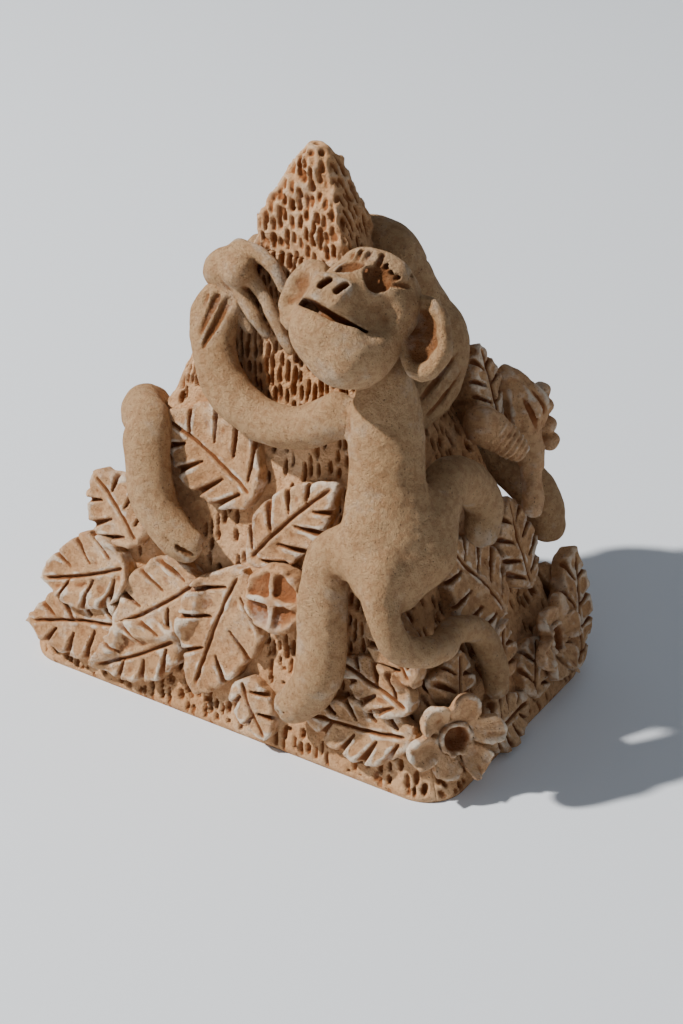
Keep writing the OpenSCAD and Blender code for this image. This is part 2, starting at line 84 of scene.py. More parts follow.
lamp("key_light", (-1.50, -1.06, 1.94), 0.10, 122, (1.0, 0.965, 0.92))
lamp("fill_light", (0.6, -2.0, 1.0), 1.6, 0.3, (0.90, 0.95, 1.0))

world = bpy.data.worlds.new("studio")
world.use_nodes = True
background = world.node_tree.nodes["Background"]
background.inputs["Color"].default_value = (0.86, 0.92, 1.0, 1)
background.inputs["Strength"].default_value = 0.265
bpy.context.scene.world = world

# ---- Places: the walls and ridges, as in the CAD model, in millimetres ----

FRONT, RIGHT, BACK, LEFT, FRONT_LEFT, FRONT_RIGHT, BACK_RIGHT, BACK_LEFT = range(8)
HALF_LENGTH, HALF_DEPTH, SLOPE_HEIGHT, SLAB_HEIGHT = 82.0, 50.0, 186.0, 146.0
BASE_MIDDLE = np.array([-3.0, -2.0, 0.0])
TIP_LEAN = np.array([4.0, 3.0])
CORNER_RADIUS = 14.0
SLAB = 9.0
PEAK = BASE_MIDDLE + [TIP_LEAN[0], TIP_LEAN[1], SLOPE_HEIGHT]
SIDES = ((-1, -1), (1, -1), (1, 1), (-1, 1))
CORNERS = [BASE_MIDDLE + [sx * HALF_LENGTH, sy * HALF_DEPTH, 0] for sx, sy in SIDES]


def unit(v):
    v = np.asarray(v, float)
    return v / np.linalg.norm(v)


# An origin, and the directions along, up and out of the clay, for each of the places above
FRAMES = []
for k in range(4):
    a, b = CORNERS[k], CORNERS[(k + 1) % 4]
    u = unit(b - a)
    w = unit(np.cross(u, PEAK - a))
    FRAMES.append(((a + b) / 2, u, np.cross(w, u), w))
for k in range(4):
    v = unit(PEAK - CORNERS[k])
    w = unit(FRAMES[(k + 3) % 4][3] + FRAMES[k][3])
    FRAMES.append((CORNERS[k], np.cross(v, w), v, w))


def at(place, u, v, w):
    """Point u along, v up and w out from the origin of a place."""
    origin, fu, fv, fw = FRAMES[place]
    return origin + u * fu + v * fv + w * fw


def outline_middle(z):
    """Middle of the leaning pyramid at height z."""
    return BASE_MIDDLE[:2] + TIP_LEAN * z / SLOPE_HEIGHT


# ---- Fields on a grid of voxels ----

LATTICE = 32
noise_tables = np.random.default_rng(7).uniform(-1, 1, (4, LATTICE, LATTICE, LATTICE)).astype(np.float32)


def lattice_weights(coords, wavelength):
    """Share of each lattice row at each coordinate, smooth and repeating."""
    p = np.asarray(coords, float) / wavelength
    i = np.floor(p).astype(int)
    t = p - i
    t = t * t * (3 - 2 * t)
    weights = np.zeros((len(p), LATTICE), np.float32)
    rows = np.arange(len(p))
    weights[rows, i % LATTICE] += 1 - t
    weights[rows, (i + 1) % LATTICE] += t
    return weights


def noise_grid(xs, ys, zs, wavelength, table):
    n = noise_tables[table]
    n = np.tensordot(lattice_weights(xs, wavelength), n, (1, 0))
    n = np.tensordot(lattice_weights(ys, wavelength), n, (1, 1))
    n = np.tensordot(lattice_weights(zs, wavelength), n, (1, 2))
    return n.transpose(2, 1, 0)


def noise_sheet(xs, ys, wavelength, table):
    n = noise_tables[table][:, :, 0]
    return lattice_weights(xs, wavelength) @ n @ lattice_weights(ys, wavelength).T


def smin(a, b, k):
    """Union of two fields, blended where they differ by less than k."""
    h = np.maximum(k - np.abs(a - b), 0) / k
    return np.minimum(a, b) - h * h * k * 0.25


def smax(a, b, k):
    """What two fields share, with its edges blended over k."""
    return -smin(-a, -b, k)


def step(low, high, x):
    """Smooth rise from 0 at low to 1 at high, or a fall when low is above high."""
    t = np.clip((x - low) / (high - low), 0, 1)
    return t * t * (3 - 2 * t)


class Grid:
    """Voxel grid over a box, in the part's frame or in a local one (origin, x axis, y axis, z axis)."""

    def __init__(self, low, high, voxel, local=None):
        self.h = voxel
        self.low = np.asarray(low, float)
        self.n = np.ceil((np.asarray(high, float) - self.low) / voxel).astype(int) + 1
        self.xs, self.ys, self.zs = (self.low[i] + voxel * np.arange(self.n[i]) for i in range(3))
        self.local = local

    def full(self):
        return np.full(self.n, FAR, np.float32)

    def part(self, low, high):
        """Slices of the grid that hold a box, or None when the box is outside."""
        a = np.clip(np.floor((np.asarray(low) - self.low) / self.h).astype(int), 0, self.n)
        b = np.clip(np.ceil((np.asarray(high) - self.low) / self.h).astype(int) + 1, 0, self.n)
        return None if np.any(a >= b) else tuple(slice(i, j) for i, j in zip(a, b))

    def points(self, cut=None):
        cut = cut or (slice(None),) * 3
        x = self.xs[cut[0]][:, None, None].astype(np.float32)
        y = self.ys[cut[1]][None, :, None].astype(np.float32)
        z = self.zs[cut[2]][None, None, :].astype(np.float32)
        return x, y, z

    def lumps(self, amount, wavelength, table):
        return amount * noise_grid(self.xs, self.ys, self.zs, wavelength, table)


def measured(points, origin, axis):
    """Distance of points from an origin along an axis, times the axis's length."""
    x, y, z = points
    return (x - origin[0]) * axis[0] + (y - origin[1]) * axis[1] + (z - origin[2]) * axis[2]


def ball(grid, middle, radius, squash=(1, 1, 1)):
    x, y, z = ((p - m) / s for p, m, s in zip(grid.points(), middle, squash))
    return (np.sqrt(x ** 2 + y ** 2 + z ** 2) - radius) * min(squash)


def blurred(f, cells):
    """Field averaged twice along each axis over a box of 2 * cells + 1 voxels."""
    for axis in range(3):
        for _ in range(2):
            g = np.moveaxis(f, axis, 0)
            padded = np.concatenate([g[:1]] * cells + [g] + [g[-1:]] * cells)
            total = np.cumsum(padded, 0, dtype=np.float64)
            total = np.concatenate([np.zeros_like(total[:1]), total])
            width = 2 * cells + 1
            g = (total[width:] - total[:-width]) / width
            f = np.moveaxis(g, 0, axis)
    return f.astype(np.float32)


def sampled(f, index):
    """Field values at points given in voxels, each blended from the eight voxels round it."""
    top = np.array(f.shape) - 2
    i = np.clip(np.floor(index).astype(int), 0, top)
    t = np.clip(index - i, 0, 1)
    out = np.zeros(len(index))
    for corner in np.ndindex(2, 2, 2):
        share = np.where(corner, t, 1 - t)
        out += share[:, 0] * share[:, 1] * share[:, 2] * f[tuple((i + corner).T)]
    return out


def link_piece(mesh, node, slot, cut, edge):
    """Gives a mesh its clay and links it as the piece that stands for a node."""
    mesh.validate()
    mesh.shade_smooth()
    for key, values in (("cut", cut), ("edge", edge)):
        layer = mesh.attributes.new(key, "FLOAT", "POINT")
        layer.data.foreach_set("value", np.asarray(values, np.float32))
    mesh.materials.append(CLAY[slot])
    piece = bpy.data.objects.new(node + "_piece", mesh)
    bpy.context.collection.objects.link(piece)
    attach(piece, "root")
    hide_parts(node)


def quad_mesh(name, points, quads):
    """Mesh of four-sided faces, from points in millimetres."""
    mesh = bpy.data.meshes.new(name)
    quads = np.asarray(quads, np.int32)
    mesh.vertices.add(len(points))
    mesh.vertices.foreach_set("co", (np.asarray(points) * MM).astype(np.float32).ravel())
    mesh.loops.add(quads.size)
    mesh.loops.foreach_set("vertex_index", quads.ravel())
    mesh.polygons.add(len(quads))
    mesh.polygons.foreach_set("loop_start", np.arange(0, quads.size, 4, dtype=np.int32))
    mesh.update(calc_edges=True)
    return mesh


def shape(node, slot, grid, field, body, reach=1.3, tint=None):
    """Links a field's surface as a piece.

    body is the field before its cuts, for the colour and painted shade of what is cut. tint, when it isn't
    the field itself, is the one whose edges and hollows are coloured, the hollows with painted shade, over a
    distance of reach.
    """
    padded = field.copy()
    for axis in range(3):
        ends = [slice(None)] * 3
        for end in (0, -1):
            ends[axis] = end
            padded[tuple(ends)] = np.maximum(padded[tuple(ends)], 0.3)
    volume = openvdb.FloatGrid()
    volume.background = FAR
    volume.copyFromArray(np.ascontiguousarray(padded, np.float32))
    points, quads = volume.convertToQuads(isovalue=0.0)
    quads = np.asarray(quads)[:, ::-1]
    index = np.asarray(points, float)
    tint = padded if tint is None else tint
    soft = blurred(tint, max(1, round(reach / grid.h)))
    # Edge: how far a point stands out (chalk) or sinks in (painted shade); depth: how deep it lies in a cut
    # (redder clay and painted shade)
    edge = (sampled(soft, index) - sampled(tint, index)) / reach
    depth = np.maximum(-sampled(body, index) - 0.15, 0)
    place = grid.low + index * grid.h
    if grid.local is not None:
        origin, ax, ay, az = grid.local
        place = origin + place[:, :1] * ax + place[:, 1:2] * ay + place[:, 2:3] * az
    place[:, 2] = np.maximum(place[:, 2], 0.0)
    # The quads face out when the volume they enclose is positive
    p = place[quads]
    enclosed = np.einsum("ij,ij->i", p[:, 0], np.cross(p[:, 1], p[:, 2])).sum()
    enclosed += np.einsum("ij,ij->i", p[:, 0], np.cross(p[:, 2], p[:, 3])).sum()
    if enclosed < 0:
        quads = quads[:, ::-1]
    link_piece(quad_mesh(node + "_piece", place, quads), node, slot, depth, edge)


# ---- Clay ----


def clay(name, light, mid, dark, chalk, grain, chalk_amount):
    """Blotched, gritty clay: dark in cuts and hollows, partly from the redder clay there and partly as
    painted shade, chalky on what stands out.
    """
    m = bpy.data.materials.new(name)
    m.use_nodes = True
    t = m.node_tree
    for n in list(t.nodes):
        t.nodes.remove(n)
    join = t.links.new

    def node(kind, **values):
        n = t.nodes.new("ShaderNode" + kind)
        for key, value in values.items():
            n.inputs[key].default_value = value
        return n

    out = node("OutputMaterial")
    shader = node("BsdfPrincipled", **{"Specular IOR Level": 0.18})
    join(shader.outputs["BSDF"], out.inputs["Surface"])
    where = node("TexCoord").outputs["Object"]

    def tex(scale, detail, rough=0.6):
        n = node("TexNoise", Scale=scale, Detail=detail, Roughness=rough)
        join(where, n.inputs["Vector"])
        return n.outputs["Fac"]

    def ramp(source, low, high, a=0.0, b=1.0):
        n = node("MapRange", **{"From Min": low, "From Max": high, "To Min": a, "To Max": b})
        n.interpolation_type = "SMOOTHSTEP"
        join(source, n.inputs["Value"])
        return n.outputs["Result"]

    def attribute(name):
        n = node("Attribute")
        n.attribute_name = name
        return n.outputs["Fac"]

    def maths(a, b, kind="MULTIPLY"):
        n = node("Math")
        n.operation = kind
        n.use_clamp = True
        for i, s in enumerate((a, b)):
            if isinstance(s, (int, float)):
                n.inputs[i].default_value = s
            else:
                join(s, n.inputs[i])
        return n.outputs[0]

    def mix(factor, a, b):
        n = node("Mix")
        n.data_type = "RGBA"
        join(factor, n.inputs["Factor"])
        for key, s in (("A", a), ("B", b)):
            socket = [i for i in n.inputs if i.name == key and i.type == "RGBA"][0]
            if isinstance(s, tuple):
                socket.default_value = (*s, 1)
            else:
                join(s, socket)
        return [o for o in n.outputs if o.type == "RGBA"][0]

    cut, edge = attribute("cut"), attribute("edge")
    blotches = ramp(tex(38, 4, 0.6), 0.34, 0.66)
    colour = mix(blotches, mid, light)
    freckle = ramp(tex(420, 3, 0.7), 0.42, 0.62)
    colour = mix(maths(freckle, 0.35), colour, dark)
    # Painted shade: concave places darkened towards the dark clay, which is also the redder clay of the
    # recesses
    hollow = ramp(edge, -0.02, -0.22)
    hollow = maths(hollow, ramp(tex(160, 3), 0.25, 0.6, 0.55, 1.0))
    colour = mix(maths(hollow, 0.8), colour, dark)
    # Cuts and pits darkened with their depth: the redder clay inside them, deepened with painted shade
    inside = ramp(cut, 0.05, 1.0)
    inside = maths(inside, ramp(tex(210, 3), 0.2, 0.7, 0.7, 1.0))
    colour = mix(inside, colour, dark)
    raised = ramp(edge, 0.16, 0.42)
    raised = maths(raised, ramp(tex(90, 4, 0.7), 0.46, 0.60, 0.1, 1.0))
    raised = maths(raised, ramp(cut, 0.6, 0.0))
    dust = maths(ramp(tex(75, 4, 0.7), 0.54, 0.70), 0.5)
    colour = mix(maths(maths(raised, dust, "MAXIMUM"), chalk_amount), colour, chalk)
    grit = ramp(tex(1500, 2, 0.5), 0.66, 0.72)
    colour = mix(maths(grit, 0.65), colour, (0.05, 0.03, 0.02))
    join(colour, shader.inputs["Base Color"])
    join(ramp(tex(300, 3), 0.3, 0.7, 0.82, 0.98), shader.inputs["Roughness"])

    coarse = node("Bump", Strength=0.6 * grain, Distance=0.0014)
    join(tex(260, 5, 0.7), coarse.inputs["Height"])
    fine = node("Bump", Strength=0.8 * grain, Distance=0.0008)
    join(tex(1300, 4, 0.7), fine.inputs["Height"])
    join(coarse.outputs["Normal"], fine.inputs["Normal"])
    join(fine.outputs["Normal"], shader.inputs["Normal"])
    return m


# Light, middle and dark clay (the dark one also paints shade into hollows and cuts), the chalk, the strength
# of the grain and that of the chalk
COLOURS = {
    "wall_clay": (
        (0.76, 0.465, 0.25), (0.66, 0.365, 0.175), (0.34, 0.125, 0.042), (0.80, 0.62, 0.43), 1.4, 0.45),
    "monkey_clay": (
        (0.58, 0.365, 0.195), (0.50, 0.305, 0.155), (0.26, 0.10, 0.034), (0.66, 0.57, 0.46), 1.8, 0.55),
    "leaf_clay": (
        (0.66, 0.405, 0.215), (0.55, 0.30, 0.142), (0.24, 0.082, 0.027), (0.84, 0.71, 0.56), 1.4, 0.8),
    "flower_clay": (
        (0.68, 0.42, 0.228), (0.58, 0.325, 0.16), (0.29, 0.10, 0.034), (0.84, 0.73, 0.59), 1.4, 0.8),
}
CLAY = {name: clay(name, *look) for name, look in COLOURS.items()}

# ---- Pits pushed into the walls with a small tool ----

PITS = 64
pit_table = np.random.default_rng(11).uniform(0, 1, (5, PITS, PITS))
PIT_ACROSS, PIT_ALONG = 2.35, 4.9


def pit_depth(place, u, v, crowd):
    """Depth of the tool marks at (u, v) on a wall; crowd from 0 to 1 says how many of them there are."""
    lean = u + 0.16 * v
    column = np.floor(lean / PIT_ACROSS).astype(int)
    depth = np.zeros(np.broadcast(u, v).shape)
    for dc in (-1, 0, 1):
        c = column + dc
        shift = pit_table[0][(c + 9 * place) % PITS, 5] * PIT_ALONG
        row = np.floor((v + shift) / PIT_ALONG).astype(int)
        for dr in (-1, 0, 1):
            r = row + dr
            a, b = (c + 13 * place) % PITS, (r + 7 * place) % PITS
            middle_c = (c + 0.5 + 0.5 * (pit_table[1][a, b] - 0.5)) * PIT_ACROSS
            middle_v = (r + 0.5 + 0.55 * (pit_table[2][a, b] - 0.5)) * PIT_ALONG - shift
            half_c = 0.62 + 0.36 * pit_table[3][a, b]
            half_v = 1.7 + 1.1 * pit_table[4][a, b]
            q = ((lean - middle_c) / half_c) ** 2 + np.abs((v - middle_v) / half_v) ** 2.4
            here = step(1.2, 0.35, q) * (0.9 + 0.9 * pit_table[3][b, a])
            here = here * (pit_table[4][b, a] < crowd)
            depth = np.maximum(depth, here)
    return depth


def crowding(place, u, v):
    """Share of the pits there is on a wall: most near the tip and the foot, few in the bare parts."""
    top = step(98, 112, v)
    low = step(16, 9, v) * step(1.5, 4, v)
    bare = 0.55 * step(8, 22, u) if place == FRONT else 0.3
    return np.clip(0.22 + bare * step(20, 30, v) + 0.78 * top + 0.38 * low, 0, 1)


# ---- Pyramid ----


def outer_line(k, z, columns):
    """Outer line of wall k at height z, evenly spaced, from mitre to mitre."""
    c = outline_middle(z)
    share = 1 - z / SLOPE_HEIGHT
    hx, hy = HALF_LENGTH * share, HALF_DEPTH * share
    r = CORNER_RADIUS * share + 0.6
    line = []
    for corner, turns in ((k, (45, 90)), ((k + 1) % 4, (0, 45))):
        sx, sy = SIDES[corner]
        m = c + [sx * (hx - r), sy * (hy - r)]
        for turn in np.linspace(*turns, 9):
            angle = math.radians(180 + 90 * corner + turn)
            line.append(m + r * np.array([math.cos(angle), math.sin(angle)]))
    line = np.array(line)
    lengths = np.concatenate([[0], np.cumsum(np.linalg.norm(np.diff(line, axis=0), axis=1))])
    s = np.linspace(0, lengths[-1], columns)
    x, y = (np.interp(s, lengths, line[:, axis]) for axis in (0, 1))
    return np.stack([x, y, np.full(columns, z)], 1)


def inner_line(k, z, columns):
    """Inner line of wall k at height z, straight, from the far mitre back to the near one."""
    share = 1 - z / SLOPE_HEIGHT
    cx, cy = outline_middle(z)
    inset_x = SLAB * math.hypot(1, HALF_LENGTH / SLOPE_HEIGHT)
    inset_y = SLAB * math.hypot(1, HALF_DEPTH / SLOPE_HEIGHT)
    ends = []
    for corner in ((k + 1) % 4, k):
        sx, sy = SIDES[corner]
        ends.append([cx + sx * (HALF_LENGTH * share - inset_x), cy + sy * (HALF_DEPTH * share - inset_y), z])
    t = np.linspace(0, 1, columns)[:, None]
    return np.array(ends[0]) * (1 - t) + np.array(ends[1]) * t


def wall_roughness(k, u, v):
    """Unevenness of wall k at (u, v), looked up on a sheet of noise."""
    pitch, left, low = 0.5, -90, -2
    us, vs = np.arange(left, 90, pitch), np.arange(low, 200, pitch)
    sheet = 0.9 * noise_sheet(us, vs, 17, k) + 0.55 * noise_sheet(us, vs, 6, (k + 1) % 4)
    sheet += 0.32 * noise_sheet(us, vs, 2.2, (k + 2) % 4)
    iu = np.clip(((u - left) / pitch).astype(int), 0, len(us) - 1)
    iv = np.clip(((v - low) / pitch).astype(int), 0, len(vs) - 1)
    return sheet[iu, iv]


def wall(node, k):
    """A closed ring of points at each height: out along the marked face and back along the inner one."""
    wide = HALF_LENGTH if k in (FRONT, BACK) else HALF_DEPTH
    columns = int(2 * wide / WALL_SPACING)
    inside_columns = 24
    heights = np.linspace(0, SLAB_HEIGHT, int(SLAB_HEIGHT * 1.06 / WALL_SPACING))
    outer = np.array([outer_line(k, z, columns) for z in heights])
    out = np.cross(np.gradient(outer, axis=1), np.gradient(outer, axis=0))
    out /= np.linalg.norm(out, axis=2, keepdims=True)
    origin, fu, fv, fw = FRAMES[k]
    u, v = (outer - origin) @ fu, (outer - origin) @ fv
    depth = pit_depth(k, u, v, crowding(k, u, v))
    column = np.arange(columns)
    fade = step(0, 2.5, np.minimum(column, column[::-1]) * WALL_SPACING)[None, :]
    z = heights[:, None]
    move = wall_roughness(k, u, v) * step(0, 6, z) - depth * 1.3 * step(1, 4, z)
    round_foot = -1.4 * step(3.0, 0, z) ** 2
    move = move * fade + round_foot - 0.35
    points = outer + out * move[:, :, None]
    points[:, :, 2] = np.maximum(points[:, :, 2], 0)
    points[0, :, 2] = 0
    # How far each point stands above or sinks below its neighbours: the clay chalks what stands out and puts
    # painted shade in what sinks
    around = sum(np.roll(move, shift, axis) for axis in (0, 1) for shift in (2, -2)) / 4
    edge = np.clip((move - around) * 0.5, -0.4, 0.4)

    inside = np.array([inner_line(k, z, inside_columns) for z in heights])
    x, y, z = np.moveaxis(inside, 2, 0)
    wobble = 0.5 * np.sin(x * 0.21 + z * 0.13) * np.cos(y * 0.19 + z * 0.23)
    wobble[:, [0, -1]] = 0
    wobble[[0, -1]] = 0
    inside = inside - fw * (wobble * 0.6)[:, :, None]

    ring = np.concatenate([points, inside], 1)
    rows, n = ring.shape[:2]
    first = np.arange(rows - 1)[:, None] * n
    a = (first + np.arange(n)).ravel()
    b = (first + (np.arange(n) + 1) % n).ravel()
    faces = np.stack([a, b, b + n, a + n], 1).tolist()
    # Foot and top: strips between the outer line and the inner one, triangles where a corner repeats
    across = [n - 1 - round(i * (inside_columns - 1) / (columns - 1)) for i in range(columns)]
    caps = []
    for first, turn in ((0, 1), ((rows - 1) * n, -1)):
        for i in range(columns - 1):
            corners = [first + i, first + across[i], first + across[i + 1], first + i + 1]
            caps.append(list(dict.fromkeys(corners[::turn])))
    faces += sorted(caps, key=len, reverse=True)
    mesh = bpy.data.meshes.new(node + "_piece")
    mesh.from_pydata((ring.reshape(-1, 3) * MM).tolist(), [], faces)
    plain = np.zeros((rows, inside_columns))
    cut = np.concatenate([depth * fade, plain], 1)
    edge = np.concatenate([edge, plain], 1)
    link_piece(mesh, node, "wall_clay", cut.ravel(), edge.ravel())


for name, k in (("front_wall", FRONT), ("right_wall", RIGHT), ("back_wall", BACK), ("left_wall", LEFT)):
    wall(name, k)


def wall_field(grid):
    """Distance out of the walls' four sloping faces."""
    return np.maximum.reduce([measured(grid.points(), origin, out) for origin, _, _, out in FRAMES[:4]])


def tip():
    grid = Grid((-20, -16, 144.4), (22, 16, 181), FINE)
    x, y, z = grid.points()
    slopes, pits = [], []
    for k in range(4):
        origin, *axes = FRAMES[k]
        u, v, w = (measured((x, y, z), origin, axis) for axis in axes)
        near = step(3.2, 1.6, np.abs(w - 0.8))
        slopes.append(w)
        pits.append(np.where(near > 0, pit_depth(k, u, v, 0.95), 0) * near)
    cone = slopes[0]
    for slope in slopes[1:]:
        cone = smax(cone, slope, 3.0)
    ordered = np.sort(np.stack(slopes), 0)
    depth = np.maximum.reduce(pits) * step(0.1, 1.6, ordered[3] - ordered[2])
    c = outline_middle(172)
    knob = np.sqrt((x - c[0]) ** 2 / 1.15 + (y - c[1]) ** 2 + ((z - 171.0) * 0.66) ** 2) - 5.0
    fuller = 0.35 - 1.5 * step(146, 156, z)
    body = smin(smax(cone + fuller, z - 174, 2.0), knob, 2.4)
    body = body + (grid.lumps(1.1, 7, 1) + grid.lumps(0.55, 2.6, 2)) * step(145, 150, z)
    body = smax(body, z - 178.2, 0.8)
    dents = grid.full()
    for dent in range(7):
        a = math.radians(51 * dent + 20)
        r = 3.6 if dent else 0
        spot = (c[0] + r * math.cos(a), c[1] + r * math.sin(a), 177.8 - 0.4 * r)
        dents = np.minimum(dents, ball(grid, spot, 1.0, (1, 1, 1.3)))
    body = smax(body, 145.4 - z, 0.3)
    field = smax(body + 1.2 * depth * step(177, 172, z), -dents, 0.5)
    shape("solid_tip", "wall_clay", grid, field, body)


tip()

# ---- Coils: torsos, limbs and tails ----


ROUTE_STEPS = 7


def smooth_route(route):
    """Points of a curve through a route's stations: position, outward direction, half width and height."""
    s = np.array([[*at(place, u, v, w), *FRAMES[place][3], hw, hh] for place, u, v, w, hw, hh in route])
    out = []
    for i in range(len(s) - 1):
        a, b, c, d = s[max(i - 1, 0)], s[i], s[i + 1], s[min(i + 2, len(s) - 1)]
        for j in range(ROUTE_STEPS):
            t = j / ROUTE_STEPS
            bend = (2 * a - 5 * b + 4 * c - d) * t * t
            out.append(0.5 * (2 * b + (c - a) * t + bend + (3 * b - a - 3 * c + d) * t ** 3))
    out.append(s[-1])
    return np.array(out)


def near_segment(grid, a, b, size):
    """Slices of the grid round a segment, the share of the way along it, and the offset from it."""
    cut = grid.part(np.minimum(a, b) - size, np.maximum(a, b) + size)
    if cut is None:
        return None
    x, y, z = grid.points(cut)
    d = b - a
    t = np.clip(measured((x, y, z), a, d) / max(float(d @ d), 1e-6), 0, 1)
    return cut, t, (x - a[0] - t * d[0], y - a[1] - t * d[1], z - a[2] - t * d[2])


def coil_field(grid, route):
    """Coil of clay along a route, flattened to its half widths and heights."""
    s = smooth_route(route)
    f = grid.full()
    for a, b in zip(s[:-1], s[1:]):
        near = near_segment(grid, a[:3], b[:3], max(a[6], a[7], b[6], b[7]) + 7)
        if near is None:
            continue
        cut, t, (x, y, z) = near
        n = unit(a[3:6] + b[3:6])
        up = x * n[0] + y * n[1] + z * n[2]
        squared = x * x + y * y + z * z
        hw = a[6] + t * (b[6] - a[6])
        hh = a[7] + t * (b[7] - a[7])
        g = np.sqrt(np.maximum(squared - up * up, 0) / hw ** 2 + up * up / hh ** 2)
        f[cut] = np.minimum(f[cut], (g - 1) * np.minimum(hw, hh))
    return f


def slit_field(grid, slits):
    """Tapered rods along the cuts of a knife or a round tool: (start, end, radius at each)."""
    f = grid.full()
    for a, b, ra, rb in slits:
        near = near_segment(grid, np.asarray(a, float), np.asarray(b, float), max(ra, rb) + 5)
        if near is None:
            continue
        cut, t, (x, y, z) = near
        f[cut] = np.minimum(f[cut], np.sqrt(x ** 2 + y ** 2 + z ** 2) - (ra + t * (rb - ra)))
    return f


# Stations along each coil: place, u, v, w, half width, half height
ROUTES = {
    "front_monkey_torso": [
        (FRONT_RIGHT, 4, 131, 14, 7, 7), (FRONT_RIGHT, 2, 118, 11, 11, 9),
        (FRONT_RIGHT, -1, 100, 10, 11.5, 9), (FRONT_RIGHT, -3, 83, 10, 15, 10),
        (FRONT_RIGHT, -4, 75, 9, 11, 8)],
    "back_monkey_torso": [
        (BACK, 23, 99, 12, 7, 7), (BACK, 25, 89, 9, 11, 9), (BACK, 29, 72, 8, 12, 9),
        (BACK, 33, 58, 8, 14, 10), (BACK, 35, 50, 7, 10, 8)],
    "front_monkey_left_arm": [
        (FRONT, 30, 112, 8, 7, 6.5), (FRONT, 18, 105, 8, 6.5, 6.5), (FRONT, 3, 104, 8, 6.5, 6.5),
        (FRONT, -10, 111, 8, 7, 6.5), (FRONT, -16, 121, 7, 7, 6), (FRONT, -19, 129, 5, 8.5, 5),
        (FRONT, -18, 134, 3, 7.5, 4)],
    "front_monkey_right_arm": [
        (RIGHT, -20, 122, 8, 7, 6), (RIGHT, -11, 130, 7, 6.5, 6), (RIGHT, -5, 141, 6, 6.5, 6),
        (RIGHT, -4, 150, 4, 7.5, 4.5), (RIGHT, -4, 156, 3, 6.5, 3.5)],
    "front_monkey_left_leg": [
        (FRONT, 47, 77, 11, 8, 7), (FRONT, 37, 70, 11, 7.5, 7), (FRONT, 36, 58, 11, 7.5, 7),
        (FRONT, 38, 45, 10.5, 7.5, 7), (FRONT, 38, 33, 10, 7.5, 6.5), (FRONT, 34, 25, 8, 7, 5),
        (FRONT, 29, 20, 7, 5.5, 4)],
    "front_monkey_right_leg": [
        (RIGHT, -30, 76, 12, 8, 7), (RIGHT, -21, 86, 12, 7.5, 7), (RIGHT, -9, 90, 11, 7.5, 7),
        (RIGHT, 2, 84, 10, 7, 6.5), (RIGHT, 6, 76, 9, 6.5, 6), (RIGHT, 3, 70, 8, 6, 5)],
    "front_monkey_tail": [
        (FRONT_RIGHT, -8, 77, 17, 5, 5), (FRONT_RIGHT, -10, 66, 16, 4.8, 4.8),
        (FRONT_RIGHT, -6, 54, 13, 4.6, 4.6), (RIGHT, -37, 49, 9, 4.5, 4.5), (RIGHT, -25, 49, 7, 4.4, 4.4),
        (RIGHT, -14, 43, 7, 4.3, 4.3), (RIGHT, -12, 32, 7, 4.2, 4.2), (RIGHT, -13, 24, 6, 3.6, 3.6)],
    "back_monkey_left_arm": [
        (BACK_LEFT, 3, 99, 7, 7, 6.5), (LEFT, -15, 112, 7, 6.5, 6.5), (LEFT, -7, 126, 5, 6, 6),
        (LEFT, 1, 141, 3, 5.5, 5.5), (FRONT_LEFT, -2, 155, 2, 6.3, 6), (FRONT_LEFT, 3, 160, 1.5, 6.3, 6),
        (FRONT_LEFT, 8, 162, 1.5, 5.5, 4.5)],
    "back_monkey_right_arm": [
        (BACK, 13, 90, 8, 7, 6.5), (BACK, -6, 102, 7, 6.5, 6.5), (BACK, -13, 122, 6.5, 6.5, 6.5),
        (BACK, -10, 146, 6, 7, 6.5), (BACK_RIGHT, 2, 161, 2, 7.5, 7), (BACK_RIGHT, 0, 150, 2.5, 8, 7),
        (BACK_RIGHT, 0, 138, 3, 8.5, 7), (RIGHT, 19, 125, 6, 9, 6.5), (RIGHT, 8, 116, 5, 9, 5),
        (RIGHT, -1, 112, 3, 7, 3)],
    "back_monkey_left_leg": [
        (BACK_LEFT, 0, 60, 7, 8, 7), (LEFT, -20, 64, 8, 7.5, 7), (LEFT, 0, 76, 7, 7.5, 7),
        (LEFT, 16, 92, 6, 7.5, 7), (FRONT_LEFT, 0, 101, 2.5, 7.5, 6.5), (FRONT, -37, 92, 6, 7.5, 6.5),
        (FRONT, -35, 83, 8, 8, 6.5), (FRONT, -30, 69, 8, 7.5, 6.5), (FRONT, -22, 61, 7.5, 7, 5.5),
        (FRONT, -17, 58, 7, 6, 4)],
    "back_monkey_right_leg": [
        (BACK, 19, 58, 9, 8, 7), (BACK, 0, 72, 9, 7.5, 7), (BACK, -20, 80, 9, 7.5, 7),
        (BACK, -38, 76, 9, 7.5, 7), (BACK_RIGHT, 6, 64, 7, 7, 7), (BACK_RIGHT, 5, 52, 6, 6.5, 6)],
    "back_monkey_tail": [
        (BACK, 37, 50, 15, 5, 5), (BACK, 46, 38, 11, 4.8, 4.8), (BACK, 58, 27, 8, 4.6, 4.6),
        (BACK_LEFT, 0, 22, 5, 4.5, 4.5), (LEFT, -32, 18, 6.5, 4.4, 4.4), (LEFT, -20, 20, 6.5, 4.2, 4.2),
        (LEFT, -13, 28, 6, 3.6, 3.6)],
    "cone_bud": [
        (RIGHT, 17, 101, 6, 7, 6), (RIGHT, 19, 97, 9, 8, 7.5), (RIGHT, 22, 92, 12, 7, 6.5),
        (RIGHT, 24, 86, 15, 5, 4.5)],
    "bell_bloom": [
        (RIGHT, 29, 64, 10, 4.5, 4.5), (RIGHT, 34, 72, 9.5, 5, 5), (RIGHT, 38, 80, 9, 7, 6.5),
        (BACK_RIGHT, 5, 92, 14, 9, 8), (BACK_RIGHT, 6, 101, 16, 8.5, 7.5), (BACK_RIGHT, 6, 107, 15, 6, 5)],
}

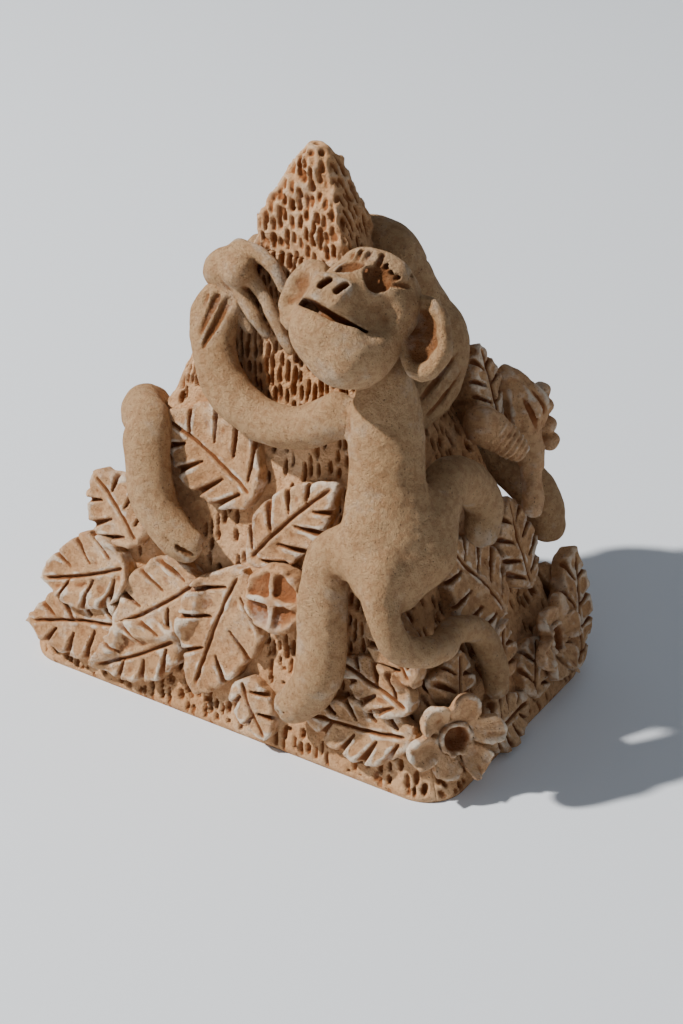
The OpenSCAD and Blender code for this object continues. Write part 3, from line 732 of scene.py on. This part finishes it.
# Fingers that leave the palm as coils of their own
FINGERS = {
    "back_monkey_left_arm": [
        [(FRONT, -15, 151, 3, 3, 3), (FRONT, -7, 151, 4, 2.2, 2.2), (FRONT, -1, 148, 4, 2, 2),
         (FRONT, 2, 143, 2.5, 1.8, 1.8)],
        [(FRONT, -17, 148, 4, 3, 3), (FRONT, -9, 144, 4.5, 2.3, 2.4), (FRONT, -2, 138, 4, 2.1, 2.2),
         (FRONT, 4, 129, 2.5, 2, 1.8), (FRONT, 7, 125, 1.5, 1.8, 1.6)],
        [(FRONT, -18, 146, 4, 3, 3), (FRONT, -12, 140, 4.5, 2.2, 2.4), (FRONT, -6, 133, 4, 2.1, 2.2),
         (FRONT, -2, 128, 2, 1.8, 1.6)],
        [(FRONT, -19, 143, 3, 2.6, 2.8), (FRONT, -16, 137, 4, 2, 2.2), (FRONT, -11, 131, 3, 1.9, 2),
         (FRONT, -8, 128, 2, 1.7, 1.6)],
    ],
}


def slit(place, start, end, start_radius, end_radius):
    return at(place, *start), at(place, *end), start_radius, end_radius


SLITS = {
    "front_monkey_left_arm": [
        slit(FRONT, (-21.5, 126, 12), (-21, 136, 7.5), 0.7, 1.1),
        slit(FRONT, (-19, 123.5, 12.5), (-17.5, 136, 7.5), 0.7, 1.5),
        slit(FRONT, (-16.5, 121.5, 12.5), (-13.5, 135.5, 7.5), 0.8, 1.8)],
    "front_monkey_right_arm": [
        slit(RIGHT, (-6, 148, 9), (-8, 162, 5), 0.6, 1.2),
        slit(RIGHT, (-2, 148, 9), (-1, 162, 5), 0.6, 1.2)],
    "front_monkey_left_leg": [
        slit(FRONT, (33, 21.5, 11), (26, 17, 9), 0.4, 1.2),
        slit(FRONT, (35, 19.5, 11), (31, 13, 8), 0.4, 1.1)],
    "front_monkey_right_leg": [
        slit(RIGHT, (4, 72, 12), (1, 64, 9), 0.4, 1.0)],
    "back_monkey_right_arm": [
        slit(RIGHT, (15, 122, 12), (-8, 113, 6), 0.5, 1.6),
        slit(RIGHT, (15, 116, 11), (-6, 107, 6), 0.5, 1.5),
        slit(BACK_RIGHT, (-6, 153, 9.5), (4, 152, 9.8), 0.5, 0.5)],
    "back_monkey_left_leg": [
        slit(FRONT, (-21, 60, 12), (-13, 56, 9), 0.4, 1.0)],
}

# Each torso flows into its limbs and tail, and each of them into it
NEIGHBOURS = {}
for torso in ("front_monkey_torso", "back_monkey_torso"):
    limbs = [name for name in ROUTES if name.startswith(torso[:-5]) and name != torso]
    NEIGHBOURS[torso] = limbs
    for limb in limbs:
        NEIGHBOURS[limb] = [torso]


def route_box(route, margin=2.0):
    s = smooth_route(route)
    size = np.maximum(s[:, 6], s[:, 7])[:, None]
    return (s[:, :3] - size).min(0) - margin, (s[:, :3] + size).max(0) + margin


COIL_BLEND, FINGER_BLEND = 4.0, 1.6
SUNK = 3.0


def coil(node):
    """Torso, limb or tail of a monkey, flowing into its neighbours."""
    boxes = [route_box(route) for route in [ROUTES[node], *FINGERS.get(node, [])]]
    low = np.min([box[0] for box in boxes], 0)
    high = np.max([box[1] for box in boxes], 0)
    grid = Grid(low, high, FINE_COIL)
    own = coil_field(grid, ROUTES[node])
    neighbours = [coil_field(grid, ROUTES[other]) for other in NEIGHBOURS.get(node, [])]
    field = own
    for near in neighbours:
        field = smin(field, near, COIL_BLEND)
    for route in FINGERS.get(node, []):
        finger = coil_field(grid, route)
        own, field = smin(own, finger, FINGER_BLEND), smin(field, finger, FINGER_BLEND)
    field = field + (grid.lumps(0.45, 13, 0) + grid.lumps(0.26, 5, 1) + grid.lumps(0.13, 2.1, 2))
    body = field
    if node in SLITS:
        field = smax(field, -(slit_field(grid, SLITS[node]) + grid.lumps(0.25, 2.4, 3)), 0.5)
    tint = field
    # The blend with a neighbour ends a little inside it, and the coil's back is sunk in the wall
    for near in neighbours:
        field = np.maximum(field, own - near - 0.6)
    field = smax(field, -(wall_field(grid) + SUNK), 0.5)
    _, _, z = grid.points()
    field = np.maximum(field, 0.05 - z)
    shape(node, "monkey_clay", grid, field, body, tint=tint)


for name in ROUTES:
    if "monkey" in name:
        coil(name)

# ---- Heads ----


def head(node, origin, right, up, forward):
    """Blunt head in its own frame: x to the viewer's right of the face, y up, z out of the face."""
    grid = Grid((-22, -26, -19), (23, 25, 25), FINE_HEAD, (origin, right, up, forward))
    x, y, z = grid.points()

    middle, radius, squash = (1.5, 4.5, -2), 15.5, (1, 1.05, 0.95)

    def crown(r, u):
        """Height of the skull's surface at (r, u)."""
        across, above = r - middle[0], (u - middle[1]) / squash[1]
        return middle[2] + squash[2] * math.sqrt(max(radius ** 2 - across ** 2 - above ** 2, 1))

    skull = ball(grid, middle, radius, squash)
    jaw = ball(grid, (6.0, -9.5, 3.5), 10.8)
    cheek = ball(grid, (-2, -6, 4.5), 11.5)
    lip = ball(grid, (-2.5, -7.0, 8.5), 8.2, (1, 0.85, 1))
    body = smin(smin(smin(skull, jaw, 8), cheek, 8), lip, 4)
    # Muzzle: a block with a flat front, and an edge down its right side
    block = smax(np.abs(x + 2.0) - 7.6, np.abs(y - 1.6) - 5.4, 5.0)
    block = smax(block, 0.96 * (z - 20.2) + 0.25 * (y - 2), 2.2)
    block = smax(block, 0.88 * (x - 5.6) + 0.46 * (z - 17.2), 0.6)
    block = smax(block, -0.85 * (x + 9.0) + 0.5 * (z - 16.0), 2.5)
    slope = ball(grid, (0.5, 7.5, 9.0), 7.0, (1.05, 0.9, 0.95))
    body = smax(body, -ball(grid, (14.2, 2.6, 13.4), 7.4, (0.9, 1.05, 1)), 3.0)
    body = smin(body, smin(block, slope, 2.5), 2.2)
    body = smin(body, ball(grid, (3.5, 16.0, 4.5), 4.0, (2.0, 0.8, 1)), 3.5)
    body = body + grid.lumps(0.45, 11, 0) + grid.lumps(0.26, 4.5, 1) + grid.lumps(0.12, 2.0, 2)

    def groove(a, b, half_a, half_b, floor):
        """Straight-sided slot seen from the front, from a to b, down to z = floor."""
        a, b = np.array(a, float), np.array(b, float)
        d = b - a
        t = np.clip(((x - a[0]) * d[0] + (y - a[1]) * d[1]) / float(d @ d), 0, 1)
        off = np.sqrt((x - a[0] - t * d[0]) ** 2 + (y - a[1] - t * d[1]) ** 2)
        return smax(off - (half_a + t * (half_b - half_a)), floor - z, 0.5)

    # Nostrils, the mouth, two eye bowls with a smaller one each, and the slashes over them
    cuts = np.minimum(
        groove((-2.3, 4.4), (-3.5, 2.2), 1.05, 1.2, 15.5), groove((2.7, 4.7), (1.7, 2.3), 1.0, 1.2, 15.5))
    mouth = np.minimum(
        groove((-11.5, -2.8), (2.0, -4.3), 1.35, 1.15, 1), groove((2.0, -4.3), (10.5, -4.0), 1.15, 0.4, 1))
    cuts = np.minimum(cuts, smax(mouth, -(body + 5.5), 0.4))
    for spot, rise, size, oval in (
        ((-2.0, 11.2), 1.8, 4.1, (1.05, 1.0, 1)), ((7.2, 11.6), 1.4, 4.3, (1, 1.1, 1)),
        ((1.2, 11.6), -0.4, 1.4, (1, 1.2, 1.8)), ((8.7, 9.8), -0.2, 1.7, (1, 1, 1.8)),
    ):
        cuts = np.minimum(cuts, ball(grid, (*spot, crown(*spot) + rise), size, oval))
    slashes = []
    for a, b in (
        ((-3.6, 12.0), (-5.4, 16.0)), ((-1.8, 12.4), (-2.8, 17.4)), ((0.4, 13.0), (0.2, 17.6)),
        ((5.2, 13.0), (3.6, 18.2)), ((6.8, 13.0), (6.2, 18.6)), ((8.4, 13.0), (9.0, 18.0)),
        ((9.6, 12.4), (11.6, 16.2)), ((10.2, 11.2), (13.6, 13.6)),
    ):
        slashes.append(((*a, crown(*a) + 0.8), (*b, crown(*b) + 1.5), 0.95, 0.8))
    cuts = np.minimum(cuts, slit_field(grid, slashes))
    field = smax(body, -(cuts + grid.lumps(0.2, 2.2, 3)), 0.4)
    shape(node, "monkey_clay", grid, field, body)


HEAD_RIGHT = unit((0.995, -0.017, -0.094))
HEAD_OUT = unit((0.05, -0.76, 0.65))
HEAD_UP = unit(np.cross(HEAD_OUT, HEAD_RIGHT))
head_middle = at(FRONT_RIGHT, 0, 150, 19) - 3 * HEAD_RIGHT - 2 * HEAD_UP
head("front_monkey_head", head_middle, HEAD_RIGHT, HEAD_UP, HEAD_OUT)
back_frame = FRAMES[BACK]
back_out = unit(back_frame[3] + 0.15 * back_frame[2])
back_up = unit(np.cross(back_out, back_frame[1]))
head("back_monkey_head", at(BACK, 19, 117, 17), back_frame[1], back_up, back_out)


def ear(node, middle, across, up, out, half_width, half_height, rim=3.4, cup=3.2):
    """Cupped oval ear: a raised rim round a hollow."""
    out = unit(out)
    across = unit(across - np.dot(across, out) * out)
    up = np.cross(out, across)
    low = (-half_width - 3, -half_height - 3, -6)
    grid = Grid(low, (half_width + 3, half_height + 3, 8), FINE, (middle, across, up, out))
    x, y, z = grid.points()
    radial = np.sqrt((x / half_width) ** 2 + (y / half_height) ** 2)
    small = min(half_width, half_height)
    slab = smax((radial - 1) * small, np.abs(z) - 3.6, 3.6)
    body = slab + grid.lumps(0.5, 6, 0) + grid.lumps(0.25, 2.4, 1)
    oval = ((x + 0.5) / (half_width - rim)) ** 2 + (y / (half_height - rim)) ** 2
    hollow = (np.sqrt(oval + ((z - 3.6) / cup) ** 2) - 1) * min(small - rim, cup)
    field = smax(body, -(hollow + grid.lumps(0.6, 3.0, 2)), 1.6)
    shape(node, "monkey_clay", grid, field, body + 1.2)


def in_head(r, u, f):
    """Point of the front head's own frame in the part's frame."""
    return head_middle + r * HEAD_RIGHT + u * HEAD_UP + f * HEAD_OUT


ear("front_monkey_left_ear", in_head(-16.2, 0.5, 2), HEAD_RIGHT, HEAD_UP,
    HEAD_OUT - 0.2 * HEAD_RIGHT, 7.4, 10.8, rim=4.6, cup=1.8)
ear("front_monkey_right_ear", in_head(20.5, 2.5, -4), 0.86 * HEAD_RIGHT + 0.5 * HEAD_UP, HEAD_UP,
    HEAD_OUT, 8.4, 12.4, rim=2.3, cup=3.8)
ear("back_monkey_left_ear", at(BACK, 2, 119, 14), *back_frame[1:], 7.8, 10.8)
ear("back_monkey_right_ear", at(BACK, 38, 119, 14), *back_frame[1:], 7.8, 10.8)

# ---- Leaves ----

# Thickness of a leaf, what a layer adds under it, and the fruit's place on the front wall
LEAF, RISE = 3.6, 2.6
FRUIT = (17, 50)
Leaf = namedtuple("Leaf", "place u v turn length left right cuts layer others")
# others: the leaves of its group that it lies on, when their layer is lower, or stops short of
LEAVES = {
    "front_leaf": [
        (FRONT, 3, 78, 156, 41, 13, 17, 4, 0, []), (FRONT, 4, 58, 50, 42, 11, 9, 4, 1, [0]),
        (FRONT, 2, 54, -104, 45, 14, 14, 3, 1, [1, 3]), (FRONT, -12, 47, -141, 39, 12, 13, 3, 0, []),
        (FRONT, -37, 52, 138, 27, 12, 12, 3, 0, []), (FRONT, -40, 43, -158, 36, 12, 12, 3, 1, [3, 4, 6]),
        (FRONT, -38, 23, -166, 40, 12, 12, 4, 0, [3]), (FRONT, -17, 26, -149, 37, 10, 10, 3, 1, [2, 3, 6]),
        (FRONT, 8, 21, -57, 21, 7, 8, 2, 0, []), (FRONT, 69, 22, -174, 38, 12, 8, 4, 0, []),
        (FRONT, 67, 30, 165, 30, 7, 7, 3, 1, [9, 11]), (FRONT, 66, 38, 130, 31, 8, 6, 3, 0, [])],
    "right_leaf": [
        (RIGHT, 7, 39, 120, 36, 16, 15, 4, 0, []), (RIGHT, 24, 40, 86, 30, 11, 10, 4, 1, [0]),
        (RIGHT, 27, 92, 80, 27, 8, 7, 4, 0, []), (RIGHT, -30, 26, 58, 17, 10, 9, 2, 0, []),
        (RIGHT, -22, 12, -4, 27, 8, 10, 4, 0, []), (RIGHT, 7, 9, 54, 20, 8, 8, 2, 0, [4]),
        (RIGHT, 34, 5, 62, 40, 9, 9, 4, 0, []), (RIGHT, -4, 22, 64, 18, 8, 8, 2, 1, [0, 4])],
    "left_leaf": [
        (LEFT, 10, 60, -92, 38, 12, 12, 4, 0, []), (LEFT, -9, 56, -112, 28, 10, 10, 4, 1, [0]),
        (LEFT, 30, 32, -118, 27, 9, 10, 3, 0, [0])],
    "back_leaf": [
        (BACK, -8, 60, -76, 42, 13, 13, 4, 0, []), (BACK, -28, 62, -112, 44, 13, 14, 4, 1, [0, 3]),
        (BACK, 34, 18, 8, 32, 9, 9, 3, 0, []), (BACK, -44, 32, -165, 28, 9, 9, 4, 0, []),
        (BACK, 6, 34, -22, 34, 10, 10, 4, 1, [0, 2])],
}

# Extra thickness of a leaf whose face stands out further
STAND_OFF = {"right_leaf_3": 5.0}


def leaf_half(t):
    """Half width of a leaf, as a share of its widest, at share t of its length."""
    return np.sin(np.pi * np.clip(t, 0, 1) ** 0.8) ** 0.75


def leaf_edge(own, x, y):
    """Signed distance to the leaf's outline, about right near it."""
    t = x / own.length
    half = np.where(y > 0, own.left, own.right)
    h = half * leaf_half(t)
    slope = half * (leaf_half(t + 0.01) - leaf_half(t - 0.01)) / (0.02 * own.length)
    d = (np.abs(y) - h) / np.sqrt(1 + np.minimum(slope ** 2, 9))
    past = np.maximum(-x, x - own.length)
    return np.where(past > 0, np.sqrt(np.maximum(past, 0) ** 2 + y ** 2), d)


def leaf_veins(own, bend, rng, x, y):
    """Depth of the midrib and the side cuts, and the height of the rims pushed up beside them."""
    length = own.length
    bow = 0.05 * length * np.sin(np.pi * x / length) * bend
    off = np.abs(y - bow * 0.6)
    stretch = step(0.02, 0.10, x / length) * step(0.97, 0.86, x / length)
    depth = 1.4 * step(0.8, 0.15, off) * stretch
    rim = 0.25 * np.exp(-((off - 1.2) / 0.6) ** 2) * stretch
    for side, half in ((-1, own.right), (1, own.left)):
        for n in range(1, own.cuts + 1):
            t = n / (own.cuts + 1)
            wide = half * float(leaf_half(np.array(t)))
            jog = rng.uniform(-0.015, 0.015)
            p = np.array([length * (t - 0.09 + jog), side * wide * rng.uniform(0.14, 0.34)])
            q = np.array([length * (t + 0.06 + jog + rng.uniform(-0.03, 0.03)), side * wide * 1.15])
            e = q - p
            s = np.clip(((x - p[0]) * e[0] + (y - p[1]) * e[1]) / float(e @ e), 0, 1.0)
            off = np.sqrt((x - p[0] - s * e[0]) ** 2 + (y - p[1] - s * e[1]) ** 2)
            reach = 0.2 + (1.1 + rng.uniform(-0.45, 0.5)) * s
            depth = np.maximum(depth, (1.5 + 1.4 * s) * step(reach + 0.3, reach * 0.25, off))
            rim = np.maximum(rim, 0.3 * np.exp(-((off - reach - 0.6) / 0.5) ** 2) * step(0.0, 0.2, s))
    return depth, rim


def leaf(group, i):
    own = Leaf(*LEAVES[group][i])
    node = "%s_%d" % (group, i + 1)
    place, length = own.place, own.length
    _, fu, fv, fw = FRAMES[place]
    a = math.radians(own.turn)
    ax = math.cos(a) * fu + math.sin(a) * fv
    ay = -math.sin(a) * fu + math.cos(a) * fv
    thick = LEAF + STAND_OFF.get(node, 0)
    low, high = (-3, -own.right - 3, -2.6), (length + 3, own.left + 3, thick + own.layer * RISE + 3.5)
    grid = Grid(low, high, FINE_THIN, (at(place, own.u, own.v, 0), ax, ay, fw))
    x, y = grid.xs[:, None], grid.ys[None, :]
    seed = (i + 5 * place) % 4

    def sheet(dx, dy, wavelength, table):
        return noise_sheet(grid.xs + dx, grid.ys + dy, wavelength, (seed + table) % 4)

    d = leaf_edge(own, x, y) - 0.4 + 0.8 * sheet(40 * i, 30 * place, 6, 0) + 0.6 * sheet(9 * i, 0, 2.4, 1)
    wall_u = own.u + x * math.cos(a) - y * math.sin(a)
    wall_v = own.v + x * math.sin(a) + y * math.cos(a)
    base = np.zeros(d.shape)
    for other in own.others:
        m = Leaf(*LEAVES[group][other])
        b = math.radians(m.turn)
        du, dv = wall_u - m.u, wall_v - m.v
        edge = leaf_edge(m, du * math.cos(b) + dv * math.sin(b), -du * math.sin(b) + dv * math.cos(b))
        if m.layer < own.layer:
            base = np.maximum(base, RISE * step(2.5, -1.5, edge))
        else:
            d = np.maximum(d, 0.3 - edge)
    if place == FRONT:
        # Stops short of the fruit
        d = np.maximum(d, 10.2 - np.sqrt((wall_u - FRUIT[0]) ** 2 + (wall_v - FRUIT[1]) ** 2))
    half = np.where(y > 0, own.left, own.right) * leaf_half(x / length) + 0.5
    crown = 0.6 * np.clip(1 - (y / half) ** 2, 0, 1)
    lift = 0.8 * step(-4.0, -0.8, d) * (0.5 + 0.5 * sheet(11 * i, 0, 8, 1))
    height = thick - 0.4 + crown + lift + 0.75 * sheet(0, 20 * i, 8, 2) + 0.42 * sheet(7 * i, 0, 2.6, 3)
    rng = np.random.default_rng(100 * place + i)
    depth, rim = leaf_veins(own, 1 if i % 2 else -1, rng, x, y)
    sheet_body = base + height + rim * step(0, -1.5, d)
    sheet_top = sheet_body - depth
    z = grid.points()[2]
    outline = d[:, :, None].astype(np.float32) * 0.9
    back = -z - 1.8
    body = np.maximum(smax(outline, z - sheet_body[:, :, None].astype(np.float32), 1.1), back)
    field = np.maximum(smax(outline, z - sheet_top[:, :, None].astype(np.float32), 0.7), back)
    shape(node, "leaf_clay", grid, field, body, reach=1.1)


for group, leaves in LEAVES.items():
    for i in range(len(leaves)):
        leaf(group, i)

# ---- Flowers, fruit and buds ----


def turned(place, u, v, w, tilt_x, tilt_y):
    """Local frame on a wall or ridge, tilted about its own x and then y."""
    _, fu, fv, fw = FRAMES[place]
    cx, sx = math.cos(math.radians(tilt_x)), math.sin(math.radians(tilt_x))
    cy, sy = math.cos(math.radians(tilt_y)), math.sin(math.radians(tilt_y))
    ax = cy * fu - sy * fw
    az0 = sy * fu + cy * fw
    ay = cx * fv + sx * az0
    az = -sx * fv + cx * az0
    return at(place, u, v, w), ax, ay, az


def flower(prefix, local, start):
    """Six creased petals round a beaded cup, the first of them at start degrees."""
    grid = Grid((-19, -19, -4), (19, 19, 13), FINE_THIN, local)
    x, y, z = grid.points()
    petals = grid.full()
    creases = []
    for i in range(6):
        a = math.radians(60 * i + start)
        c, s = math.cos(a), math.sin(a)
        px, py = x * c + y * s, -x * s + y * c
        rise = 2.4 + 0.30 * (px - 5) + 1.0 * math.sin(3.1 * i)
        wide = 2.5 + 2.3 * step(4, 10, px)
        reach = 14.4 + 1.2 * math.sin(2.3 * i + 1)
        blade = smax(np.abs(py) - wide, px - reach + 0.07 * py ** 2, 2.6)
        blade = smax(blade, 4.0 - px, 1.0)
        blade = smax(blade, np.abs(z - rise - 0.10 * py ** 2) - 1.7, 1.2)
        petals = smin(petals, blade.astype(np.float32), 0.3)
        for q in (-1.9, 1.9):
            base = np.array([6.5 * c - 0.3 * q * s, 6.5 * s + 0.3 * q * c, 5.4])
            tip_point = np.array([15.5 * c - 1.25 * q * s, 15.5 * s + 1.25 * q * c, 8.4])
            creases.append((base, tip_point, 0.45, 0.95))
    body = petals + grid.lumps(0.8, 5, 0) + grid.lumps(0.4, 2.2, 1)
    cup = smax(np.sqrt(x * x + y * y) - 5.4, np.abs(z - 2.2) - 3.9, 1.2)
    body = np.maximum(body, -(cup - 0.1))
    field = smax(body, -slit_field(grid, creases), 0.5)
    shape(prefix + "_petals", "flower_clay", grid, field, body)
    grid = Grid((-8, -8, -4), (8, 8, 10), FINE_CUP, local)
    x, y, z = grid.points()
    r = np.sqrt(x * x + y * y)
    body = smax(r - 5.3, np.abs(z - 2.0) - 3.9, 1.4)
    for i in range(9):
        a = math.radians(40 * i + 11)
        bead = np.sqrt((x - 4.7 * math.cos(a)) ** 2 + (y - 4.7 * math.sin(a)) ** 2 + (z - 5.4) ** 2) - 1.1
        body = smin(body, bead, 0.7)
    body = body + grid.lumps(0.3, 2.6, 2)
    hole = smax(r - 2.4 - 0.34 * np.clip(z, 0, 6) + grid.lumps(0.4, 2, 3), 0.8 - z, 1.0)
    shape(prefix + "_cup", "flower_clay", grid, smax(body, -hole, 0.7), body)


flower("corner_flower", turned(FRONT_RIGHT, 8, 23, -7, 14, 6), 8)
flower("side_flower", turned(RIGHT, 24, 21, 1, 6, 8), 0)


def fruit():
    """Flat round fruit with a shallow cross-ribbed hollow and a ring of notches."""
    grid = Grid((-14, -14, -3), (14, 14, 13), FINE_THIN, (at(FRONT, *FRUIT, 0), *FRAMES[FRONT][1:]))
    x, y, z = grid.points()
    r = np.sqrt(x * x + y * y)
    body = smax(r - 10.9, np.abs(z - 3.2) - 5.6, 4.2)
    body = body + grid.lumps(0.45, 6, 0) + grid.lumps(0.25, 2.4, 1)
    ribs = smax(1.0 - np.abs(x + 0.1 * y), 1.0 - np.abs(y - 0.1 * x), 1.2)
    cuts = smax(smax(r - 9.3, ribs, 1.4), 6.2 - z + 0.012 * r * r, 1.4) + grid.lumps(0.5, 2.4, 2)
    notches = []
    for i in range(11):
        a = math.radians(33 * i)
        c, s = math.cos(a), math.sin(a)
        notches.append(((9.9 * c, 9.9 * s, 9.0), (11.6 * c, 11.6 * s, 4.0), 0.5, 0.6))
    cuts = np.minimum(cuts, slit_field(grid, notches))
    field = smax(body, -cuts, 0.7)
    shape("fruit", "flower_clay", grid, field, body)


fruit()


def bud():
    """Cone of clay, wrinkled at its narrow end."""
    grid = Grid(*route_box(ROUTES["cone_bud"], 3), FINE)
    slim = [(place, u, v, w, 0.76 * hw, 0.78 * hh) for place, u, v, w, hw, hh in ROUTES["cone_bud"][1:]]
    body = coil_field(grid, slim) + grid.lumps(0.8, 7, 0) + grid.lumps(0.4, 2.6, 1)
    end = at(RIGHT, 24, 83, 16)
    axis = unit(end - at(RIGHT, 18, 101, 7))
    along = measured(grid.points(), end, axis)
    wrinkle = 0.4 * np.sin(along * 3.4 + grid.lumps(2.0, 6, 2)) * step(-15, -6, along)
    shape("cone_bud", "flower_clay", grid, body + wrinkle, body - 0.3)


bud()


def bell():
    """Ribbed dome on a stalk, and the fringe of clay pellets down its side."""
    grid = Grid(*route_box(ROUTES["bell_bloom"], 5), FINE)
    stalk = [(place, u, v, w, 0.7 * hw, 0.7 * hh) for place, u, v, w, hw, hh in ROUTES["bell_bloom"][:4]]
    body = coil_field(grid, stalk)
    _, fu, fv, fw = FRAMES[BACK_RIGHT]
    middle = at(BACK_RIGHT, 5, 95, 15)
    u, v, w = (measured(grid.points(), middle, axis) for axis in (fu, fv, fw))
    turn = np.arctan2(w, u)
    ribs = 1.1 * np.abs(np.sin(3.5 * turn + 0.12 * v)) * step(11, 2, v)
    narrow = 1 - 0.028 * np.clip(v + 4, 0, 14)
    dome = np.sqrt((u / (9.5 * narrow)) ** 2 + (v / 12.0) ** 2 + (w / (9.2 * narrow)) ** 2)
    body = smin(body, (dome - 1) * 8 + ribs - 0.4, 1.5)
    body = body + grid.lumps(0.7, 7, 0) + grid.lumps(0.4, 2.6, 1)
    lines = []
    for i in range(7):
        a = math.radians(-60 + 38 * i)
        out = math.cos(a) * fu + math.sin(a) * fw
        lines.append((middle + 8.2 * out - 8 * fv, middle + 7.0 * out + 7 * fv, 1.3, 0.5))
    field = smax(body, -slit_field(grid, lines), 0.5)
    shape("bell_bloom", "flower_clay", grid, field, body)
    grid = Grid((-7, -16, -9), (11, 12, 9), FINE, (at(BACK_RIGHT, 5, 86, 21), *FRAMES[BACK_RIGHT][1:]))
    body = grid.full()
    for i in range(4):
        body = smin(body, ball(grid, (4 - 1.5 * i, 6 - 5 * i, 2 - 1.4 * i), 3.25, (1, 0.85, 1.1)), 0.6)
    body = body + grid.lumps(0.5, 3, 0)
    shape("bell_bloom_fringe", "flower_clay", grid, body, body)


bell()

# ---- Floor ----

floor_mesh = bpy.data.meshes.new("floor")
floor_mesh.from_pydata([(-6, -6, 0), (6, -6, 0), (6, 6, 0), (-6, 6, 0)], [], [(0, 1, 2, 3)])
floor_material = bpy.data.materials.new("floor_paper")
floor_material.use_nodes = True
paper = floor_material.node_tree.nodes["Principled BSDF"]
paper.inputs["Base Color"].default_value = (0.80, 0.85, 0.91, 1)
paper.inputs["Roughness"].default_value = 0.9
floor_mesh.materials.append(floor_material)
floor = bpy.data.objects.new("floor", floor_mesh)
bpy.context.collection.objects.link(floor)
